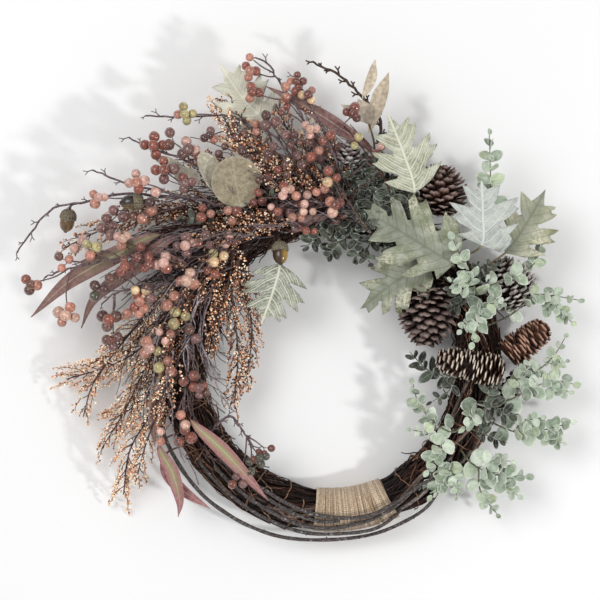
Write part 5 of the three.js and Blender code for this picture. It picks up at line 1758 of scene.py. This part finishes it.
def add_seeds(gathering, branchlets, every, shades, code):
    """Sets short twiglets on both sides of each branchlet, and strings seeds on them."""
    paths = np.array([curve(b, BRANCHLET_STEPS) for b in branchlets])
    paths += rng.normal(0, 0.35, paths.shape)
    keep_above(paths, 1.8)
    gathering.rods(paths, (0.5, 0.25), code, 1, 4)
    lengths = np.linalg.norm(np.diff(paths, axis=1), axis=2).sum(axis=1)
    counts = np.maximum(3, (0.8 * lengths / every).astype(int))
    which = np.repeat(np.arange(len(paths)), counts)
    count = len(which)
    share = np.concatenate([np.linspace(0.2, 1, n) for n in counts])
    place = share * BRANCHLET_STEPS
    before = np.minimum(place.astype(int), BRANCHLET_STEPS - 1)
    rest = (place - before)[:, None]
    base = paths[which, before] * (1 - rest) + paths[which, before + 1] * rest
    along, side, face = (f[which, before] for f in frames(paths))
    hand = np.where(np.arange(count) % 2, 1, -1)[:, None]
    open_out = chance(0.15, 0.75, count) * (share < 0.98)[:, None]
    direction = unit(along + side * hand * open_out + face * rng.normal(0, 0.4, (count, 1)))
    tip = base + direction * chance(4, 7.5, count) * (1.1 - 0.35 * share)[:, None]
    keep_above(tip, 1.4)
    gathering.rods(np.stack([base, tip], axis=1), 0.18, code, 1, 3)
    aside = unit(np.cross(direction, rng.normal(0, 1, base.shape)))
    spots = []
    for k in range(SEEDS_ON_TWIGLET):
        at = (k + 0.9) / SEEDS_ON_TWIGLET + rng.normal(0, 0.06, (count, 1))
        swap = (1 if k % 2 else -1) * (0.75 if k < SEEDS_ON_TWIGLET - 1 else 0.1)
        spots.append(base + (tip - base) * at + aside * swap * SEED_RADIUS)
    spots = np.concatenate(spots)
    radii = SEED_RADIUS * rng.uniform(0.6, 1.1, (len(spots), 1, 1))
    keep_above(spots, radii[:, 0, 0])
    tones = picks(shades, len(spots)) * chance(0.9, 1.24, len(spots))
    gathering.add(SEED, spots[:, None] + SEED[0][None] * radii, tones)


for index, (name, (root, points, width, branches, rows)) in enumerate(SEED_STEMS.items()):
    points = from_ring(root, points)
    head = Gathering()
    branchlets = part_branches(points, width, branches, Draws(901 + 13 * index))
    branchlets += more_branches(points, width, rows, Draws(4001 + 29 * index))
    inner = name in ("seed_head_inner", "seed_head_upper_left")
    every = 4.4 if name == "seed_head_upper_left" else 3.5
    add_seeds(head, branchlets, every, DARK_SEEDS if inner else PALE_SEEDS, "55392e" if inner else "744f42")
    head.rods([curve(points, 24)], (1.4, 0.7), "64524e", 1)
    head.close(name + "_sprays", [seed_skin, stem_bark], "seed", [name])

MORE_SEED_HEADS = {
    # groups of further sprays that only this dressed version has: root, points, width, rows
    "seed_sprays_outer": (
        PALE_SEEDS,
        [
            (150, [(-150, 72, 52), (-185, 44, 50), (-215, 10, 42), (-238, -22, 32), (-249, -56, 20)], 38, 26),
            (158, [(-152, 42, 58), (-180, 2, 54), (-205, -48, 42), (-230, -88, 24)], 38, 26),
            (170, [(-150, 5, 60), (-170, -45, 56), (-186, -88, 44), (-195, -120, 26)], 34, 26),
            (146, [(-138, 92, 54), (-172, 62, 58), (-205, 24, 48), (-232, 0, 36)], 36, 24),
        ],
    ),
    "seed_sprays_over_ring": (
        DARK_SEEDS,
        [
            (136, [(-110, 104, 62), (-132, 74, 66), (-150, 34, 62), (-164, -6, 54)], 36, 46),
            (128, [(-96, 114, 62), (-100, 84, 64), (-112, 48, 60), (-120, 10, 52)], 32, 44),
            (112, [(-60, 134, 64), (-84, 132, 68), (-110, 112, 66), (-132, 82, 62)], 32, 46),
            (108, [(-44, 140, 62), (-72, 142, 66), (-102, 140, 66), (-134, 122, 62)], 28, 46),
            (130, [(-94, 112, 54), (-86, 76, 54), (-78, 34, 50), (-84, -22, 40)], 26, 44),
            (142, [(-120, 94, 70), (-144, 56, 72), (-158, 14, 66), (-164, -34, 56)], 26, 40),
        ],
    ),
    "seed_sprays_under": (
        DARK_SEEDS,
        [
            (120, [(-88, 138, 46), (-126, 152, 42), (-164, 152, 38), (-200, 142, 30)], 36, 46),
            (110, [(-58, 158, 48), (-84, 180, 46), (-110, 196, 42), (-140, 204, 34)], 34, 44),
        ],
    ),
    "seed_sprays_top": (
        DARK_SEEDS,
        [
            (91, [(-5, 168, 66), (-35, 188, 72), (-68, 206, 70), (-100, 228, 62)], 24, 44),
            (97, [(-20, 160, 58), (-52, 168, 58), (-84, 176, 52), (-126, 186, 46)], 26, 34),
            (100, [(-28, 172, 60), (-58, 204, 64), (-86, 240, 60), (-104, 262, 52)], 24, 30),
            (84, [(14, 186, 62), (2, 214, 68), (-12, 240, 66), (-26, 262, 60)], 22, 32),
            (94, [(-14, 178, 56), (-28, 206, 58), (-44, 234, 54), (-54, 258, 46)], 28, 36),
        ],
    ),
}
for name, (shades, heads) in MORE_SEED_HEADS.items():
    group = Gathering()
    for index, (root, points, width, rows) in enumerate(heads):
        points = from_ring(root, points)
        branchlets = more_branches(points, width, rows, Draws(5003 + 41 * index + len(heads)))
        add_seeds(group, branchlets, 3.8, shades, "664a3d")
        group.rods([curve(points, 24)], (1.3, 0.6), "64524e", 1)
    group.close(name, [seed_skin, stem_bark], "seed")

# Bare stems
# Grey-violet stems and finer dark ones that sweep along the ring's left half under the berries, and a
# few reddish twigs that cross over its top.
def bare_stems(gathering, count, root_range, sweep, out_range, height, radius, shades):
    """Stems that leave the bundle, run along the ring and end beside it, with a side twig each."""
    share = shares_of(14)
    begin = chance(*root_range, count)
    degrees = begin + share * chance(*sweep, count) + 1.2 * np.sin(share * 9 + begin)
    out = RING_RADIUS + chance(-14, 14, count) + share**1.5 * chance(*out_range, count)
    out = out + 2.4 * np.sin(share * chance(8, 20, count) + begin) + rng.normal(0, 0.5, out.shape)
    top = chance(*height, count)
    z = SOCKET_Z + (top - SOCKET_Z) * np.minimum(1, share * 5) ** 0.7 - 10 * np.clip(share - 0.6, 0, 1)
    paths = on_ring(degrees, out, z)
    tones = picks(shades, count)
    gathering.rods(paths, radius * (1 - 0.5 * share), tones, sides=5)
    for k in (5, 8, 11):
        start, ahead = paths[:, k], unit(paths[:, k + 1] - paths[:, k])
        turned = beside(ahead) * rng.choice([-1, 1], (count, 1))
        knee = start + (ahead + turned * 0.5) * chance(4, 9, count)
        end = knee + (ahead + turned * 0.1 + UP * rng.normal(0, 0.2, (count, 1))) * chance(4, 12, count)
        radii = [radius * 0.6, radius * 0.5, radius * 0.3]
        gathering.rods(np.stack([start, knee, end], axis=1), radii, tones, sides=4)


GREYS = "9a8f95 877b80 a89fa4 75686a 6a5a59"
BROWNS = "3f2820 2e1d17 54382c 654638"
BARE_STEMS = [
    # how many, root, sweep round the ring, distance out, height at the top, radius, colours
    (30, (118, 168), (22, 62), (-36, 32), (50, 72), 1.15, GREYS),
    (34, (92, 132), (24, 56), (-10, 46), (48, 60), 1.0, GREYS),
    (36, (80, 112), (12, 34), (20, 110), (50, 66), 0.85, GREYS + " " + BROWNS),
    (80, (90, 176), (16, 44), (-40, 62), (44, 66), 0.6, BROWNS),
    (90, (82, 120), (8, 40), (-24, 84), (44, 60), 0.75, BROWNS),
    (90, (70, 98), (8, 24), (20, 90), (40, 64), 0.75, BROWNS + " " + GREYS),
    (70, (108, 128), (18, 36), (30, 100), (44, 60), 0.7, BROWNS + " " + GREYS),
    (70, (100, 132), (20, 42), (0, 84), (28, 44), 0.8, BROWNS),
    (44, (126, 150), (16, 40), (-46, -16), (40, 60), 0.7, BROWNS),
    (9, (84, 140), (18, 40), (0, 70), (78, 92), 1.0, GREYS),
]
RED_TWIGS = [
    # each from its loose end to the ring, with its thickness and colour
    (
        [(8, 240, 66), (24, 222, 74), (38, 203, 80), (52, 183, 80), (60, 166, 66), (62, 150, 42)],
        1.0,
        "5b3a35",
    ),
    (
        [(-22, 232, 64), (-11, 215, 74), (0, 200, 80), (11, 185, 78), (18, 170, 64), (24, 152, 44)],
        1.0,
        "4c3a35",
    ),
    (
        [(-2, 186, 72), (7, 174, 82), (22, 152, 86), (37, 131, 78), (46, 126, 62), (50, 132, 44)],
        1.5,
        "6d5a54",
    ),
    (
        [(20, 236, 64), (32, 222, 74), (47, 207, 78), (60, 192, 70), (64, 172, 56), (60, 156, 42)],
        0.8,
        "6e4a46",
    ),
    (
        [(66, 208, 62), (58, 196, 74), (44, 182, 80), (28, 172, 78), (14, 156, 62), (8, 148, 44)],
        0.9,
        "583a36",
    ),
]
loose = Gathering()
for *places, codes in BARE_STEMS:
    bare_stems(loose, *places, shades_of(codes))
for points, thick, code in RED_TWIGS:
    loose.rods([curve(points, 24)], (0.6 * thick, 1.1 * thick), code)
loose.close("bare_stems_left", [stem_bark], "twig")
